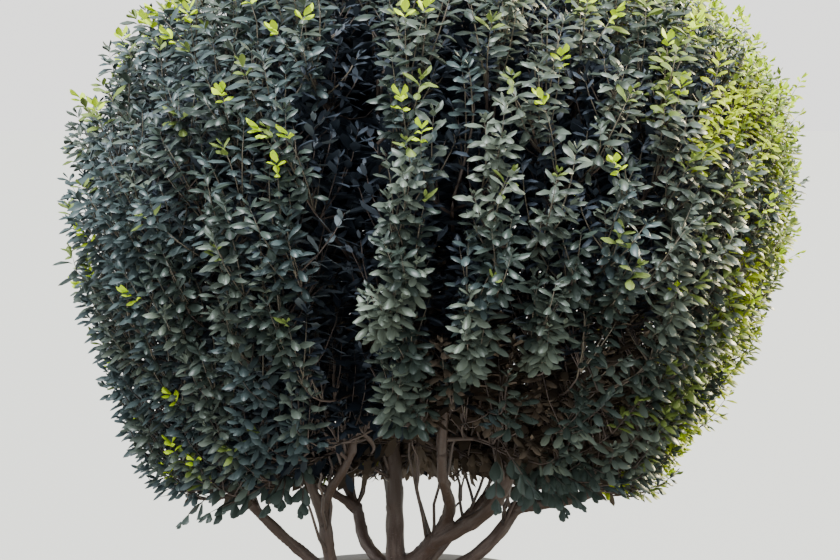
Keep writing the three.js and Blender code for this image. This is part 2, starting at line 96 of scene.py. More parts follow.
# %% Camera
CAMERA_PLACE = (0.04, -3.0, 1.576)
LENS = 67.5
SENSOR = 36.0
IMAGE_WIDTH = 840
HORIZON_ABOVE = 190  # pixels from the middle of the photograph up to its horizon
CAMERA_DIP = math.atan(HORIZON_ABOVE / (IMAGE_WIDTH * LENS / SENSOR))

camera_data = bpy.data.cameras.new("camera")
camera_data.lens = LENS
camera_data.sensor_width = SENSOR
camera = placed("camera", camera_data)
camera.location = CAMERA_PLACE
camera.rotation_euler = (math.pi / 2 - CAMERA_DIP, 0.0, 0.0)
bpy.context.scene.camera = camera
print("camera dips", round(math.degrees(CAMERA_DIP), 2), "degrees")

# %% [markdown]
# A plant of this size has too many leaves to shape one by one, so the growing is done on arrays: each row
# is one point, one direction or one twig, and a rule is applied to all rows at once. These few helpers
# are the whole of the arithmetic. They work alike on one row and on fifty thousand.

# %% Array helpers
TAU = 2 * math.pi
GOLDEN_ANGLE = math.pi * (3 - math.sqrt(5))
UP = np.array([0.0, 0.0, 1.0])
SKEW = np.array([0.31, 0.67, 0.22])  # no twig runs this way, so its sides can be found by a cross product
BATCH = 400  # rows that are compared with all others at one time


def mix(first, second, share):
    return first + (second - first) * share


def smooth(low, high, value):
    share = np.clip((value - low) / (high - low), 0, 1)
    return share * share * (3 - 2 * share)


def dot(a, b):
    return np.sum(a * b, axis=-1, keepdims=True)


def unit(vectors):
    return vectors / np.maximum(np.linalg.norm(vectors, axis=-1, keepdims=True), 1e-9)


def travelled(line):
    """How far along a line each of its points is."""
    return np.concatenate([[0], np.cumsum(np.linalg.norm(np.diff(line, axis=0), axis=1))])


def radial(azimuth, radius, height):
    parts = np.cos(azimuth) * radius, np.sin(azimuth) * radius, np.zeros_like(azimuth) + height
    return np.stack(np.broadcast_arrays(*parts), axis=-1)


def bezier(points, shares):
    """Points along Bezier curves: points is (curves, 3 or 4, 3), shares (samples,) or (curves, samples)."""
    order = points.shape[1] - 1
    shares = np.broadcast_to(shares, (len(points), np.shape(shares)[-1]))
    weights = [math.comb(order, k) * shares**k * (1 - shares) ** (order - k) for k in range(order + 1)]
    return np.einsum("kns,nkd->nsd", np.array(weights), points)


def slope(points, shares):
    """Unit directions along the same curves."""
    step = 0.01
    low = np.clip(np.asarray(shares) - step, 0, 1)
    return unit(bezier(points, np.clip(low + 2 * step, 0, 1)) - bezier(points, low))


def chosen(rows, which):
    """A table, which is a dictionary of arrays, with only some of its rows."""
    return {key: part[which] for key, part in rows.items()}


def tree_of(points):
    """The points in a tree, which finds the nearest of them to any place."""
    tree = KDTree(len(points))
    for number, point in enumerate(points):
        tree.insert(point, number)
    tree.balance()
    return tree


print("a third of the way from 1 to 4 is", mix(1, 4, 1 / 3))

# %% [markdown]
# The bare limbs follow the same rule as the packed solids. Each stem leaves the stool at an azimuth and
# runs out by its reach and up by its rise, on a line between straight and a quarter turn. Near its end it
# parts into boughs, which end where they enter a mass of leaves. Writing the rule again, instead of
# reading points from the solids, lets the limbs run on inside the crown as the stems of its masses.

# %% Limbs
SOIL_TOP = 0.5
STEM_WAVE = 0.007
STEM_SAMPLES = 41
FORK_SHARE = 0.94  # of a stem's length, where its boughs leave it
HUB = np.array([0.06, 0.0, 0.0])  # the crown's axis stands a little to the right of the pot's
SECTORS = 12
CENTRE_RADIUS = 0.24
MASS_GAP = 0.002
CORE_INSET = 0.084  # from the crown's outline in to the solid core of a mass

# azimuth, base above the soil, reach, rise, radii of root and tip, arc, and how far from the axis it starts
STEMS = {
    "stem_centre": (204, 0.060, 0.017, 0.339, 0.0200, 0.0165, 0.20, 0.000),
    "stem_right": (325, 0.141, 0.090, 0.079, 0.0190, 0.0170, 0.10, 0.004),
    "stem_far_right": (347, 0.108, 0.232, 0.180, 0.0150, 0.0120, 0.58, 0.000),
    "stem_back_right": (30, 0.098, 0.200, 0.167, 0.0140, 0.0120, 0.05, 0.000),
    "stem_back": (96, 0.057, 0.190, 0.270, 0.0140, 0.0120, 0.60, 0.030),
    "stem_mid_left": (125, 0.137, 0.163, 0.099, 0.0130, 0.0115, 0.88, 0.020),
    "stem_far_left": (203, 0.070, 0.349, 0.293, 0.0125, 0.0090, 0.20, 0.034),
    "stem_left": (235, 0.050, 0.241, 0.258, 0.0140, 0.0125, 0.90, 0.034),
}
# stem it leaves, sector it feeds, radius and turn of its end, radii, and how far it leaves outwards
BOUGHS = {
    "bough_upright": ("stem_right", 9, 0.268, -11, 0.013, 0.009, -0.4),
    "bough_right": ("stem_right", 10, 0.254, -10, 0.015, 0.012, 0.4),
    "bough_far_right": ("stem_far_right", 11, 0.345, 0, 0.0115, 0.009, 0.7),
    "bough_back_right_a": ("stem_back_right", 0, 0.33, 0, 0.011, 0.009, 0.5),
    "bough_back_right_b": ("stem_back_right", 1, 0.32, 0, 0.011, 0.008, 0.3),
    "bough_back_a": ("stem_back", 2, 0.3, 0, 0.01, 0.008, 0.4),
    "bough_back_b": ("stem_back", 3, 0.3, 0, 0.01, 0.008, 0.4),
    "bough_mid_left_a": ("stem_mid_left", 4, 0.31, 0, 0.0095, 0.008, 0.3),
    "bough_mid_left_b": ("stem_mid_left", 5, 0.31, 0, 0.0095, 0.008, 0.5),
    "bough_left_a": ("stem_left", 7, 0.32, 0, 0.011, 0.0085, 0.2),
    "bough_left_b": ("stem_left", 8, 0.308, -12, 0.01, 0.008, 0.0),
}


def sector_azimuth(sector):
    return (sector + 0.5) * TAU / SECTORS


def stem_line(azimuth, base, reach, rise, arc, start):
    share = np.linspace(0, 1, STEM_SAMPLES)
    angle = math.radians(azimuth)
    out = mix(share, np.sin(share * math.pi / 2), arc)
    up = mix(share, 1 - np.cos(share * math.pi / 2), arc)
    wave = STEM_WAVE * np.sin(share * TAU + azimuth) * share
    line = radial(np.full(STEM_SAMPLES, angle), mix(start, reach, out), SOIL_TOP + base + rise * up)
    return line + radial(np.full(STEM_SAMPLES, angle + math.pi / 2), wave, 0)


print(len(STEMS), "stems and", len(BOUGHS), "boughs")

# %% [markdown]
# The crown is a clipped shape, so one formula gives its whole outline: an underside that rises to the rim
# of the skirt, a side that swells to the middle, and a dome above. A share of 0 is the inner edge of the
# underside and 1 is the top. The skirt is clipped higher in front, where the stems show. Deeper layers of
# the crown are the same outline with an inset.

# %% Crown outline
HALF_WIDTH = 0.682
MIDDLE = 1.365  # height where the crown is widest
TOP = 1.9
SKIRT = 0.795  # height of the skirt's rim at the sides, and how much higher it is clipped in front and behind
FRONT_LIFT = 0.185
BACK_LIFT = 0.05
TAPER = 0.31  # how much narrower the skirt is than the middle, as a share, with more on the right
TAPER_LEAN = 0.07
SHOULDER = 0.038  # how far the leaves fill out the dome's shoulders, more on the right
SHOULDER_LEAN = 0.012
UNDERSIDE_HEIGHT = 0.838
INNER_RADIUS = 0.17
UNDERSIDE = 0.12  # shares of the outline: the end of the underside, and the middle
WAIST = 0.5
VAULT_FOOT = 0.83  # the hollow that is clipped around the limbs: its lowest height, its lift and its curve
VAULT_LIFT = 0.03
VAULT_CURVE = 0.55
OPEN_AZIMUTH = math.radians(265)
OPEN_EDGES = (math.radians(23), math.radians(36))
MERIDIAN = 0.3  # azimuth of the line along which the even lattice is measured


def wrapped(angle):
    return (angle + math.pi) % TAU - math.pi


def open_front(azimuth):
    """1 at the front of the crown, where the limbs show under it, and 0 elsewhere."""
    return 1 - smooth(*OPEN_EDGES, np.abs(wrapped(azimuth - OPEN_AZIMUTH)))


def rim_height(azimuth):
    facing = -np.sin(azimuth)
    return SKIRT + np.where(facing > 0, FRONT_LIFT * np.maximum(facing, 0) ** 3, BACK_LIFT * facing**2)


def underside_height(azimuth, share, inset):
    return mix(UNDERSIDE_HEIGHT, rim_height(azimuth), share**2) + inset * 0.6


def outline(share, azimuth, inset=0.0):
    share, azimuth, inset = np.broadcast_arrays(*(np.asarray(v, float) for v in (share, azimuth, inset)))
    half_width = HALF_WIDTH - inset
    taper = TAPER + TAPER_LEAN * np.cos(azimuth)
    skirt_radius = half_width * (1 - taper)
    under = mix(INNER_RADIUS, skirt_radius, share / UNDERSIDE)
    drop = np.clip(1 - (share - UNDERSIDE) / (WAIST - UNDERSIDE), 0, 1)
    angle = np.clip((share - WAIST) / (1 - WAIST), 0, 1) * math.pi / 2
    levels = [share < UNDERSIDE, share < WAIST]
    shoulder = (SHOULDER + SHOULDER_LEAN * np.cos(azimuth)) * np.sin(2 * angle)
    radius = np.select(
        levels, [under, half_width * (1 - taper * drop**1.5)], half_width * np.cos(angle) + shoulder
    )
    side = mix(MIDDLE, underside_height(azimuth, 1, inset), drop)
    dome = MIDDLE + (TOP - MIDDLE - inset) * np.sin(angle)
    height = np.select(levels, [underside_height(azimuth, radius / skirt_radius, inset), side], dome)
    return radial(azimuth, radius, height) + HUB


def clipped_underside(points):
    """The height of the clipped underside over or under each point, vaulted higher where the limbs show."""
    apart = points - HUB
    azimuth = np.arctan2(apart[:, 1], apart[:, 0])
    skirt_radius = HALF_WIDTH * (1 - TAPER - TAPER_LEAN * np.cos(azimuth))
    share = np.clip(np.hypot(apart[:, 0], apart[:, 1]) / skirt_radius, 0, 1)
    vault = mix(VAULT_FOOT, rim_height(azimuth) + VAULT_LIFT, share**VAULT_CURVE)
    return mix(underside_height(azimuth, share, 0.0), vault, open_front(azimuth))


def outwards(share, azimuth):
    step = 0.01
    high = np.minimum(share + step, 1 - 1e-4)
    along = outline(high, azimuth) - outline(high - 2 * step, azimuth)
    across = radial(azimuth + math.pi / 2, np.ones_like(azimuth), 0)
    return -unit(np.cross(along, across))


def even_places(count):
    """Shares and azimuths of a lattice that covers the whole outline evenly."""
    steps = np.linspace(0, 1, 801)
    edge = outline(steps, MERIDIAN)
    radius = np.hypot(edge[:, 0] - HUB[0], edge[:, 1])
    area = np.concatenate([[0], np.cumsum(radius[:-1] * np.linalg.norm(np.diff(edge, axis=0), axis=1))])
    share = np.interp((np.arange(count) + 0.5) / count * area[-1], area, steps)
    return share, (np.arange(count) * GOLDEN_ANGLE) % TAU


print("the crown is", 2 * HALF_WIDTH, "m wide, and stands from", SKIRT, "m to", TOP, "m")

# %% [markdown]
# With the outline known, the boughs can be carried to the underside of the masses, and a stem runs on
# from each of them up into its mass. All limbs end up in one table of polylines with a radius at every
# point.

# %% Boughs and the stems inside the masses
CENTRE_DEPTH = 0.19  # from the crown's top down to the end of the stem in the middle mass
SECTOR_RISE = 0.23  # from the crown's widest height up to the ends of the others
BEYOND_CENTRE = 0.11  # how far outside the middle mass those stand
STEM_TIP_RADIUS = 0.0042


def core_underside(sector, radius):
    azimuth = sector_azimuth(sector)
    skirt = outline(UNDERSIDE, azimuth, CORE_INSET)
    skirt_radius = math.hypot(skirt[0] - HUB[0], skirt[1])
    inner = (CENTRE_RADIUS + MASS_GAP) / math.cos(math.pi / SECTORS)
    share = min(max((skirt_radius - radius) / (skirt_radius - inner), 0), 1)
    return float(mix(skirt[2], underside_height(azimuth, 0.5, CORE_INSET), share))


def bough_curve(sector, entry, turn, out, start, tangent):
    azimuth = sector_azimuth(sector) + math.radians(turn)
    door = radial(np.array(azimuth), entry, core_underside(sector, entry)) + HUB
    reach = np.linalg.norm(start - door)
    outward = unit((door - start) * [1, 1, 0])
    leaving = unit(mix(tangent, outward, out))
    arriving = unit(UP + 0.35 * outward)
    return np.array([start, start + leaving * reach * 0.4, door - arriving * reach * 0.35, door])


def mass_curve(key, tip, along):
    if key == "centre":
        top = HUB + UP * (TOP - CENTRE_DEPTH)
    else:
        radius = CENTRE_RADIUS + BEYOND_CENTRE
        top = radial(np.array(sector_azimuth(key)), radius, MIDDLE + SECTOR_RISE) + HUB
    third = np.linalg.norm(tip - top) * 0.3
    return np.array([tip, tip + along * third, top - UP * third, top])


limbs = {}  # name: (points, radii)
mass_stems = {}  # mass: the Bezier points of the stem inside it


def add_limb(name, line, root, tip):
    limbs[name] = (line, mix(root, tip, np.linspace(0, 1, len(line))))


def feed_mass(key, name):
    line, radii = limbs[name]
    mass_stems[key] = mass_curve(key, line[-1], unit(line[-1] - line[-2]))
    inner = bezier(mass_stems[key][None], np.linspace(0, 1, 33))[0]
    add_limb(f"inner_{key}", inner, radii[-1], STEM_TIP_RADIUS)


for stem_name, (azimuth, base, reach, rise, root, tip, arc, start) in STEMS.items():
    add_limb(stem_name, stem_line(azimuth, base, reach, rise, arc, start), root, tip)
for bough_name, (stem_name, sector, entry, turn, root, tip, out) in BOUGHS.items():
    stem_points = limbs[stem_name][0]
    fork = round(FORK_SHARE * (len(stem_points) - 1))
    tangent = unit(stem_points[fork + 1] - stem_points[fork - 1])
    curve = bough_curve(sector, entry, turn, out, stem_points[fork], tangent)
    add_limb(bough_name, bezier(curve[None], np.linspace(0, 1, 33))[0], root, tip)
    feed_mass(sector, bough_name)
feed_mass(6, "stem_far_left")
feed_mass("centre", "stem_centre")
print(len(limbs), "limbs,", len(mass_stems), "masses")

# %% [markdown]
# On the real plant the leaves don't cover the globe evenly. They stand on upright columns of shoots,
# about a hand apart, with near-black clefts between them, and here and there a deep pocket. Noise alone
# would give blotches and not columns, so each column gets an azimuth of its own and sways a little on its
# way up. The columns and pockets that face the camera are placed as in the photograph, in degrees to the
# right of the front and in metres of height, and the rest are dealt by a seeded generator.

# %% Columns and pockets
FRONT = math.radians(270)
FRONT_COLUMNS = (-40.5, -31.0, -22.5, -4.5, 7.0, 17.0, 28.0, 39.5)
COLUMN_PITCH = 9.7
COLUMN_SWAY = 1.5
COLUMN_ENDS = (0.76, 1.0, 0.76, 0.89)  # where every second and fourth column gives out, towards the top
CLEFT_BANDS = ((0.0, 0.76, 1), (0.76, 0.89, 2), (0.89, 0.955, 4))  # from, to, and which columns still stand

random = np.random.default_rng(58)
rest_of_turn = 360 - (FRONT_COLUMNS[-1] - FRONT_COLUMNS[0])
rest_count = round(rest_of_turn / COLUMN_PITCH) - 1
rest_columns = FRONT_COLUMNS[-1] + rest_of_turn / (rest_count + 1) * np.arange(1, rest_count + 1)
rest_columns += random.uniform(-1.6, 1.6, rest_count)
column_azimuth = FRONT + np.radians(np.concatenate([FRONT_COLUMNS, rest_columns]))
column_phase = random.uniform(0, TAU, len(column_azimuth))
column_end = np.resize(COLUMN_ENDS, len(column_azimuth))

# offset from the front in degrees, height, half the width in degrees, half the height
FRONT_POCKETS = (
    (-14.8, 1.45, 4.6, 0.085), (-15.6, 1.29, 4.8, 0.110), (-15.9, 1.15, 2.6, 0.055),
    (-27.5, 1.13, 2.6, 0.095), (-24.5, 1.57, 2.2, 0.035), (-12.0, 1.60, 2.6, 0.060),
    (2.4, 1.46, 2.3, 0.090), (1.8, 1.32, 1.9, 0.080), (12.0, 1.34, 2.0, 0.100),
    (13.7, 1.19, 2.2, 0.080), (22.4, 1.36, 2.0, 0.075), (25.4, 1.18, 2.4, 0.090),
    (33.0, 1.44, 2.4, 0.065), (6.7, 1.58, 2.0, 0.035), (18.0, 1.57, 2.0, 0.035),
    (5.0, 1.07, 5.0, 0.065), (20.0, 1.07, 2.6, 0.060), (35.0, 1.02, 4.0, 0.045),
)
REST_POCKETS = 46
rest_pockets = np.stack(
    [
        random.uniform(52, 308, REST_POCKETS),
        random.uniform(0.98, 1.7, REST_POCKETS),
        random.uniform(1.8, 4.4, REST_POCKETS),
        random.uniform(0.035, 0.11, REST_POCKETS),
    ],
    axis=1,
)
pockets = np.concatenate([np.array(FRONT_POCKETS), rest_pockets])
print(len(column_azimuth), "columns,", len(pockets), "pockets")


def column_line(column, share):
    """Azimuth of a column where it passes a share of the outline."""
    sway = math.radians(COLUMN_SWAY) * np.sin(share * TAU * 1.7 + column_phase[column])
    return column_azimuth[column] + sway


def cleft(share, azimuth):
    """From 0 on the crest of a column to 1 in the middle of a cleft and beyond."""
    depth = np.zeros(len(share))
    for low, high, step in CLEFT_BANDS:
        here = (share >= low) & (share < high)
        standing = np.flatnonzero(column_end > low)
        lines = column_line(standing[None], share[here, None])
        nearest = np.abs(wrapped(azimuth[here, None] - lines)).min(axis=1)
        depth[here] = smooth(0.55, 1.0, nearest / math.radians(COLUMN_PITCH * step / 2))
    return depth


def pocket_depth(azimuth, height):
    across = np.degrees(wrapped(azimuth[:, None] - FRONT - np.radians(pockets[None, :, 0]))) / pockets[:, 2]
    upright = (height[:, None] - pockets[:, 1]) / pockets[:, 3]
    return 1 - smooth(0.5, 1.35, (across**2 + upright**2).min(axis=1))


# %% [markdown]
# The crown is grown from its clipped surface inwards, as a hedge is seen: first the heads of the sprays
# are set along the columns, then branches are led to them from the stems of the masses by the source's
# rule, and every twig leaves its parent a hand's breadth below its own end, so that it rises. The other
# way, growing freely outwards and cutting at the outline, would waste most of the twigs.

# %% Branches, from the stems of the masses
BRANCHES = 150
BRANCH_DEPTH = 0.15
BRANCH_LIFT = 0.55
FORK_DROP = 0.55  # a branch leaves its stem this much below its end, for each metre that it runs out
FORK_LIMITS = (0.06, 0.94)
BRANCH_RINGS = np.linspace(0, 1, 9)
BRANCH_RADII = (0.0058, 0.0026)
TWIG_CLEARANCE = 0.008


def mass_at(points):
    """The mass that a point belongs to: a sector's number, or SECTORS for the middle mass."""
    apart = points - HUB
    sectors = [sector_azimuth(s) for s in range(SECTORS)]
    reach = np.max([apart[:, 0] * math.cos(s) + apart[:, 1] * math.sin(s) for s in sectors], axis=0)
    turn = np.arctan2(apart[:, 1], apart[:, 0]) % TAU
    return np.where(reach < CENTRE_RADIUS - MASS_GAP, SECTORS, (turn / TAU * SECTORS).astype(int))


def mass_of(share, azimuth):
    return mass_at(outline(share, azimuth, CORE_INSET))


def heading(share, azimuth, lift):
    """Out from the surface and up. Under the crown, where those cancel out, it is mostly level instead."""
    normal = outwards(share, azimuth)
    under = smooth(0.35, 0.80, -normal[:, 2])[:, None]
    level = radial(azimuth, np.ones_like(azimuth), 0)
    lift = np.broadcast_to(np.asarray(lift, float).reshape(-1, 1), under.shape)
    return unit(normal * (1 - 0.75 * under) + UP * lift * (1 - 0.9 * under) + level * 0.8 * under)


def arcs(starts, ends, headings, bend=0.45):
    reach = np.linalg.norm(ends - starts, axis=1, keepdims=True)
    return np.stack([starts, ends - headings * reach * bend, ends], axis=1)


def lifted(curves):
    """The same arcs with their middle points raised above the clipped underside."""
    curves = curves.copy()
    curves[:, 1, 2] = np.maximum(curves[:, 1, 2], clipped_underside(curves[:, 1]) + TWIG_CLEARANCE)
    return curves


share, azimuth = even_places(BRANCHES)
branch_heading = heading(share, azimuth, BRANCH_LIFT)
branch_end = outline(share, azimuth) - branch_heading * BRANCH_DEPTH
above = branch_end[:, 2] > clipped_underside(branch_end) - 0.005
share, azimuth, branch_heading, branch_end = (
    part[above] for part in (share, azimuth, branch_heading, branch_end)
)
branch_mass = mass_of(share, azimuth)
branch_root = np.empty_like(branch_end)
for i, mass in enumerate(branch_mass):
    curve = mass_stems["centre" if mass == SECTORS else int(mass)]
    span = math.hypot(*(branch_end[i] - curve[3])[:2])
    fork = (branch_end[i, 2] - FORK_DROP * span - curve[0, 2]) / (curve[3, 2] - curve[0, 2])
    branch_root[i] = bezier(curve[None], [np.clip(fork, *FORK_LIMITS)])[0, 0]
branch_arcs = lifted(arcs(branch_root, branch_end, branch_heading))
branch_paths = bezier(branch_arcs, BRANCH_RINGS)
branch_radii = np.broadcast_to(mix(*BRANCH_RADII, BRANCH_RINGS), branch_paths.shape[:2])
print(len(branch_paths), "branches")

# %% [markdown]
# Lower down, thinner side branches rise from the upper parts of the stems and boughs. They carry few
# leaves of their own, and they show as a fan of bare rods where the skirt is clipped high.

# %% Risers
RISERS = 96
RISER_PLACE = (0.70, 0.97)
RISER_RISE = (0.13, 0.34)
RISER_SPREAD = 0.035
RISER_KINK = 0.0030
RISER_RADII = (0.0036, 0.0015)

random = np.random.default_rng(23)
bare_limbs = [limbs[name][0] for name in (*STEMS, *BOUGHS)]
riser_root = np.array(
    [line[int(len(line) * random.uniform(*RISER_PLACE))] for line in (bare_limbs * RISERS)[:RISERS]]
)
riser_out = unit((riser_root - HUB) * [1, 1, 0])
riser_spread = random.normal(0, RISER_SPREAD, (RISERS, 3)) * [1, 1, 0]
riser_end = riser_root + riser_out * random.uniform(0, 0.1, (RISERS, 1)) + riser_spread
riser_end += UP * random.uniform(*RISER_RISE, (RISERS, 1))
riser_paths = bezier(arcs(riser_root, riser_end, unit(UP + 0.25 * riser_out)), BRANCH_RINGS)
riser_paths[:, 2:-1] += random.normal(0, RISER_KINK, (RISERS, len(BRANCH_RINGS) - 3, 3))
riser_radii = np.broadcast_to(mix(*RISER_RADII, BRANCH_RINGS), riser_paths.shape[:2])
riser_mass = mass_at(riser_end)
print(len(riser_paths), "risers")

# %% [markdown]
# Sprays are the side branches that clothe a column. Their heads stand about ten centimetres apart along
# it, by turns a little left and right of its line. On the top of the dome, where the columns have given
# out, and under the crown, the heads follow the even lattice instead. No spray reaches below the clipped
# underside.

# %% Sprays
SPRAY_PITCH = 0.092
SPRAY_STAGGER = 0.018
SPRAY_DEPTH = 0.085
SPRAY_LIFT = 1.5
SPRAY_RINGS = np.linspace(0, 1, 7)
SPRAY_RADII = (0.0028, 0.0014)
SPRAY_CLEARANCE = 0.030
SPRAY_REACH = 0.15  # how far back along its heading a spray looks for its branch
SPRAY_SLANT = 0.14  # metres further that it goes sooner than leave the branch aslant
POCKET_SINK = 0.05  # how much deeper a spray ends in a pocket
CAP_SHARE = 0.93  # of the outline, where the last columns give out
CAP_LATTICE = 620

random = np.random.default_rng(7)
head_share, head_azimuth = [], []
for column in range(len(column_azimuth)):
    steps = np.linspace(UNDERSIDE * 0.9, min(column_end[column], CAP_SHARE), 400)
    line = outline(steps, column_line(column, steps))
    travel = travelled(line)
    marks = np.arange(random.uniform(0.1, 0.7) * SPRAY_PITCH, travel[-1], SPRAY_PITCH)
    marks += random.uniform(-0.18, 0.18, len(marks)) * SPRAY_PITCH
    share = np.interp(marks, travel, steps)
    at = outline(share, column_line(column, share)) - HUB
    side = np.where(np.arange(len(marks)) % 2, 1.0, -1.0) * SPRAY_STAGGER / np.hypot(at[:, 0], at[:, 1])
    head_share.append(share)
    head_azimuth.append(column_line(column, share) + side)
lattice_share, lattice_azimuth = even_places(CAP_LATTICE)
off_columns = (lattice_share > CAP_SHARE) | (lattice_share < UNDERSIDE * 0.8)
head_share = np.concatenate([*head_share, lattice_share[off_columns]])
head_azimuth = np.concatenate([*head_azimuth, lattice_azimuth[off_columns]])
head_azimuth = head_azimuth % TAU
head_surface = outline(head_share, head_azimuth)
spray_heading = heading(head_share, head_azimuth, SPRAY_LIFT)
spray_sunk = POCKET_SINK * pocket_depth(head_azimuth, head_surface[:, 2])
spray_end = head_surface - spray_heading * (SPRAY_DEPTH + spray_sunk)[:, None]
spray_end[:, 2] = np.maximum(spray_end[:, 2], clipped_underside(spray_end) + SPRAY_CLEARANCE)


def best_root(ends, headings, points, wanted, slant):
    """For each end, the number of the point about the wanted distance back along its heading."""
    gap = ends[:, None] - points
    distance = np.linalg.norm(gap, axis=2)
    rise = np.einsum("esd,ed->es", gap, headings) / np.maximum(distance, 1e-6)
    return np.argmin(np.abs(distance - wanted) + slant * (1 - rise), axis=1)


branch_points = bezier(branch_arcs, np.linspace(0.3, 1, 15)).reshape(-1, 3)
inner_points = [limbs[name][0][8:] for name in limbs if name.startswith("inner_")]
spray_parents = np.concatenate([branch_points, *inner_points])
batches = [slice(low, low + BATCH) for low in range(0, len(spray_end), BATCH)]
picked = [
    best_root(spray_end[batch], spray_heading[batch], spray_parents[None], SPRAY_REACH, SPRAY_SLANT)
    for batch in batches
]
spray_root = spray_parents[np.concatenate(picked)]
spray_arcs = lifted(arcs(spray_root, spray_end, spray_heading))
spray_paths = bezier(spray_arcs, SPRAY_RINGS)
spray_radii = np.broadcast_to(mix(*SPRAY_RADII, SPRAY_RINGS), spray_paths.shape[:2])
spray_mass = mass_of(head_share, head_azimuth)
print(len(spray_paths), "sprays")

# %% [markdown]
# The shoots carry the leaves. Their ends are an even lattice over the whole outline, and each shoot
# leaves the spray nearest to it and stands nearly upright, so that the pairs of leaves are seen from the
# side. Long leaders with eight or nine pairs stand out of the surface, and short shoots fill the space
# between them. An end in a cleft or a pocket is set deeper or left out. Two thinner layers of shoots
# stand deeper, in the shade, and close the view through the crown. On the side that the sun has bleached,
# the shoots stand closer and their leaves are smaller. A rougher way would scatter the ends freely, but a
# clipped plant is even.

# %% Shoots near the surface
SHOOT_LIFT = 2.8
SHOOT_RINGS = np.array([0.0, 0.35, 0.68, 1.0])
SHOOT_RADII = (0.0017, 0.0008)
SHOOT_SLANT = 0.1  # as for a spray and its branch
# layer: shoots, seed, nearest and furthest depth below the outline, size of its leaves, reach to the spray
LAYERS = {
    "leader": (2500, 11, -0.004, 0.014, 1.0, 0.16),
    "filler": (1900, 14, 0.025, 0.065, 0.9, 0.09),
    "sunny": (4200, 15, 0.0, 0.035, 1.0, 0.10),
    "shade": (2200, 12, 0.085, 0.165, 1.15, 0.11),
    "deep": (1900, 13, 0.18, 0.31, 1.6, 0.11),
}
SURFACE_LAYERS = ("leader", "filler", "sunny")
WANDER = 0.010  # how far an end strays from its place in the lattice, in metres along and as a share up
WANDER_SHARE = 0.0035
CLEFT_DEPTH = 0.095
BORDER_DEPTH = 0.015  # between two sprays
POCKET_DEPTH = 0.1
UNDERSIDE_GONE = 0.45  # share of the shoots that the shears took from the underside
FRESH_SHARE = 0.16  # of the leaders have grown since the last clipping, by so much
OVERSHOOT = (0.008, 0.024)
THIN_SCALE = 13.0  # thin spots to a metre
THIN_NOISE = (0.02, 0.34)
SUN_SIDE = unit(np.array([0.92, 0.12, 0.3]))
SUN_EDGES = (0.60, 0.80)  # how far a spot faces the sun where the bleaching begins and where it is full
SUN_EVEN = 0.75  # how much of the clefts and pockets is closed there
SUN_SIZE = 0.66
SKIRT_REACH = 0.09


def facing_sun(share, azimuth):
    """How far each spot of the outline faces the sun. The undercut sides count as upright."""
    normal = outwards(share, azimuth)
    normal[:, 2] = np.maximum(normal[:, 2], 0)
    return unit(normal) @ SUN_SIDE


def shoot_ends(layer):
    """Places, depths and headings of the ends of one layer of shoots."""
    count, seed, nearest, furthest, leaf_size, reach = LAYERS[layer]
    random = np.random.default_rng(seed)
    share, azimuth = even_places(count)
    surface = outline(share, azimuth)
    radius = np.maximum(np.hypot(surface[:, 0] - HUB[0], surface[:, 1]), 0.02)
    azimuth = azimuth + random.normal(0, WANDER, count) / radius
    share = np.clip(share + random.normal(0, WANDER_SHARE, count), 0.002, 0.998)
    surface = outline(share, azimuth)
    head = np.empty((count, 2), int)
    border = np.empty(count)
    for low in range(0, count, BATCH):
        apart = np.linalg.norm(surface[low : low + BATCH, None] - head_surface[None], axis=2)
        order = np.argsort(apart, axis=1)[:, :2]
        head[low : low + BATCH] = order
        near = np.take_along_axis(apart, order, axis=1)
        border[low : low + BATCH] = near[:, 1] - near[:, 0]
    between = 1 - smooth(0.0, 0.03, border)
    valley = cleft(share, azimuth)
    pocket = pocket_depth(azimuth, surface[:, 2])
    bare = open_front(azimuth) * (share < UNDERSIDE)
    inset = random.uniform(nearest, furthest, count)
    thin = smooth(*THIN_NOISE, np.array([noise.noise(Vector(point) * THIN_SCALE) for point in surface]))
    bleached = smooth(*SUN_EDGES, facing_sun(share, azimuth))
    valley, pocket, thin = (part * (1 - SUN_EVEN * bleached) for part in (valley, pocket, thin))
    if layer in SURFACE_LAYERS:
        inset += CLEFT_DEPTH * valley * random.uniform(0.6, 1.15, count)
        inset += BORDER_DEPTH * between + POCKET_DEPTH * pocket
        gone = 0.75 * valley**2 + 0.1 * between + 0.85 * pocket + 0.45 * thin
        gone = np.where(share < UNDERSIDE, np.maximum(gone, mix(UNDERSIDE_GONE, 1, bare)), gone)
        fresh = (random.uniform(size=count) < FRESH_SHARE) & (valley < 0.3) & (share > UNDERSIDE)
        inset -= np.where(fresh, random.uniform(*OVERSHOOT, count), 0) * (layer == "leader")
        if layer == "sunny":
            gone = np.maximum(gone, 1 - bleached)
    else:
        gone = 0.3 * pocket * (layer == "shade") + 0.6 * bare
    kept = random.uniform(size=count) > gone
    lift = SHOOT_LIFT * random.uniform(0.6, 1.7, count)
    fan = unit(surface - head_surface[head[:, 0]])
    way = unit(heading(share, azimuth, lift) + 0.25 * fan + random.normal(0, 0.17, (count, 3)))
    end = surface - outwards(share, azimuth) * inset[:, None]
    size = leaf_size * mix(1, SUN_SIZE, bleached)
    reach = mix(min(reach, SKIRT_REACH), reach, smooth(UNDERSIDE, 0.30, share))
    parts = (share, azimuth, end, way, head[:, 0], inset, size, reach)
    return [part[kept] for part in parts]


def root_on_spray(ends, ways, spray, wanted):
    points = bezier(spray_arcs[spray], np.linspace(0.25, 1, 8))
    return points[np.arange(len(ends)), best_root(ends, ways, points, wanted[:, None], SHOOT_SLANT)]


layers = {layer: shoot_ends(layer) for layer in LAYERS}
print({layer: len(parts[0]) for layer, parts in layers.items()}, "shoots")
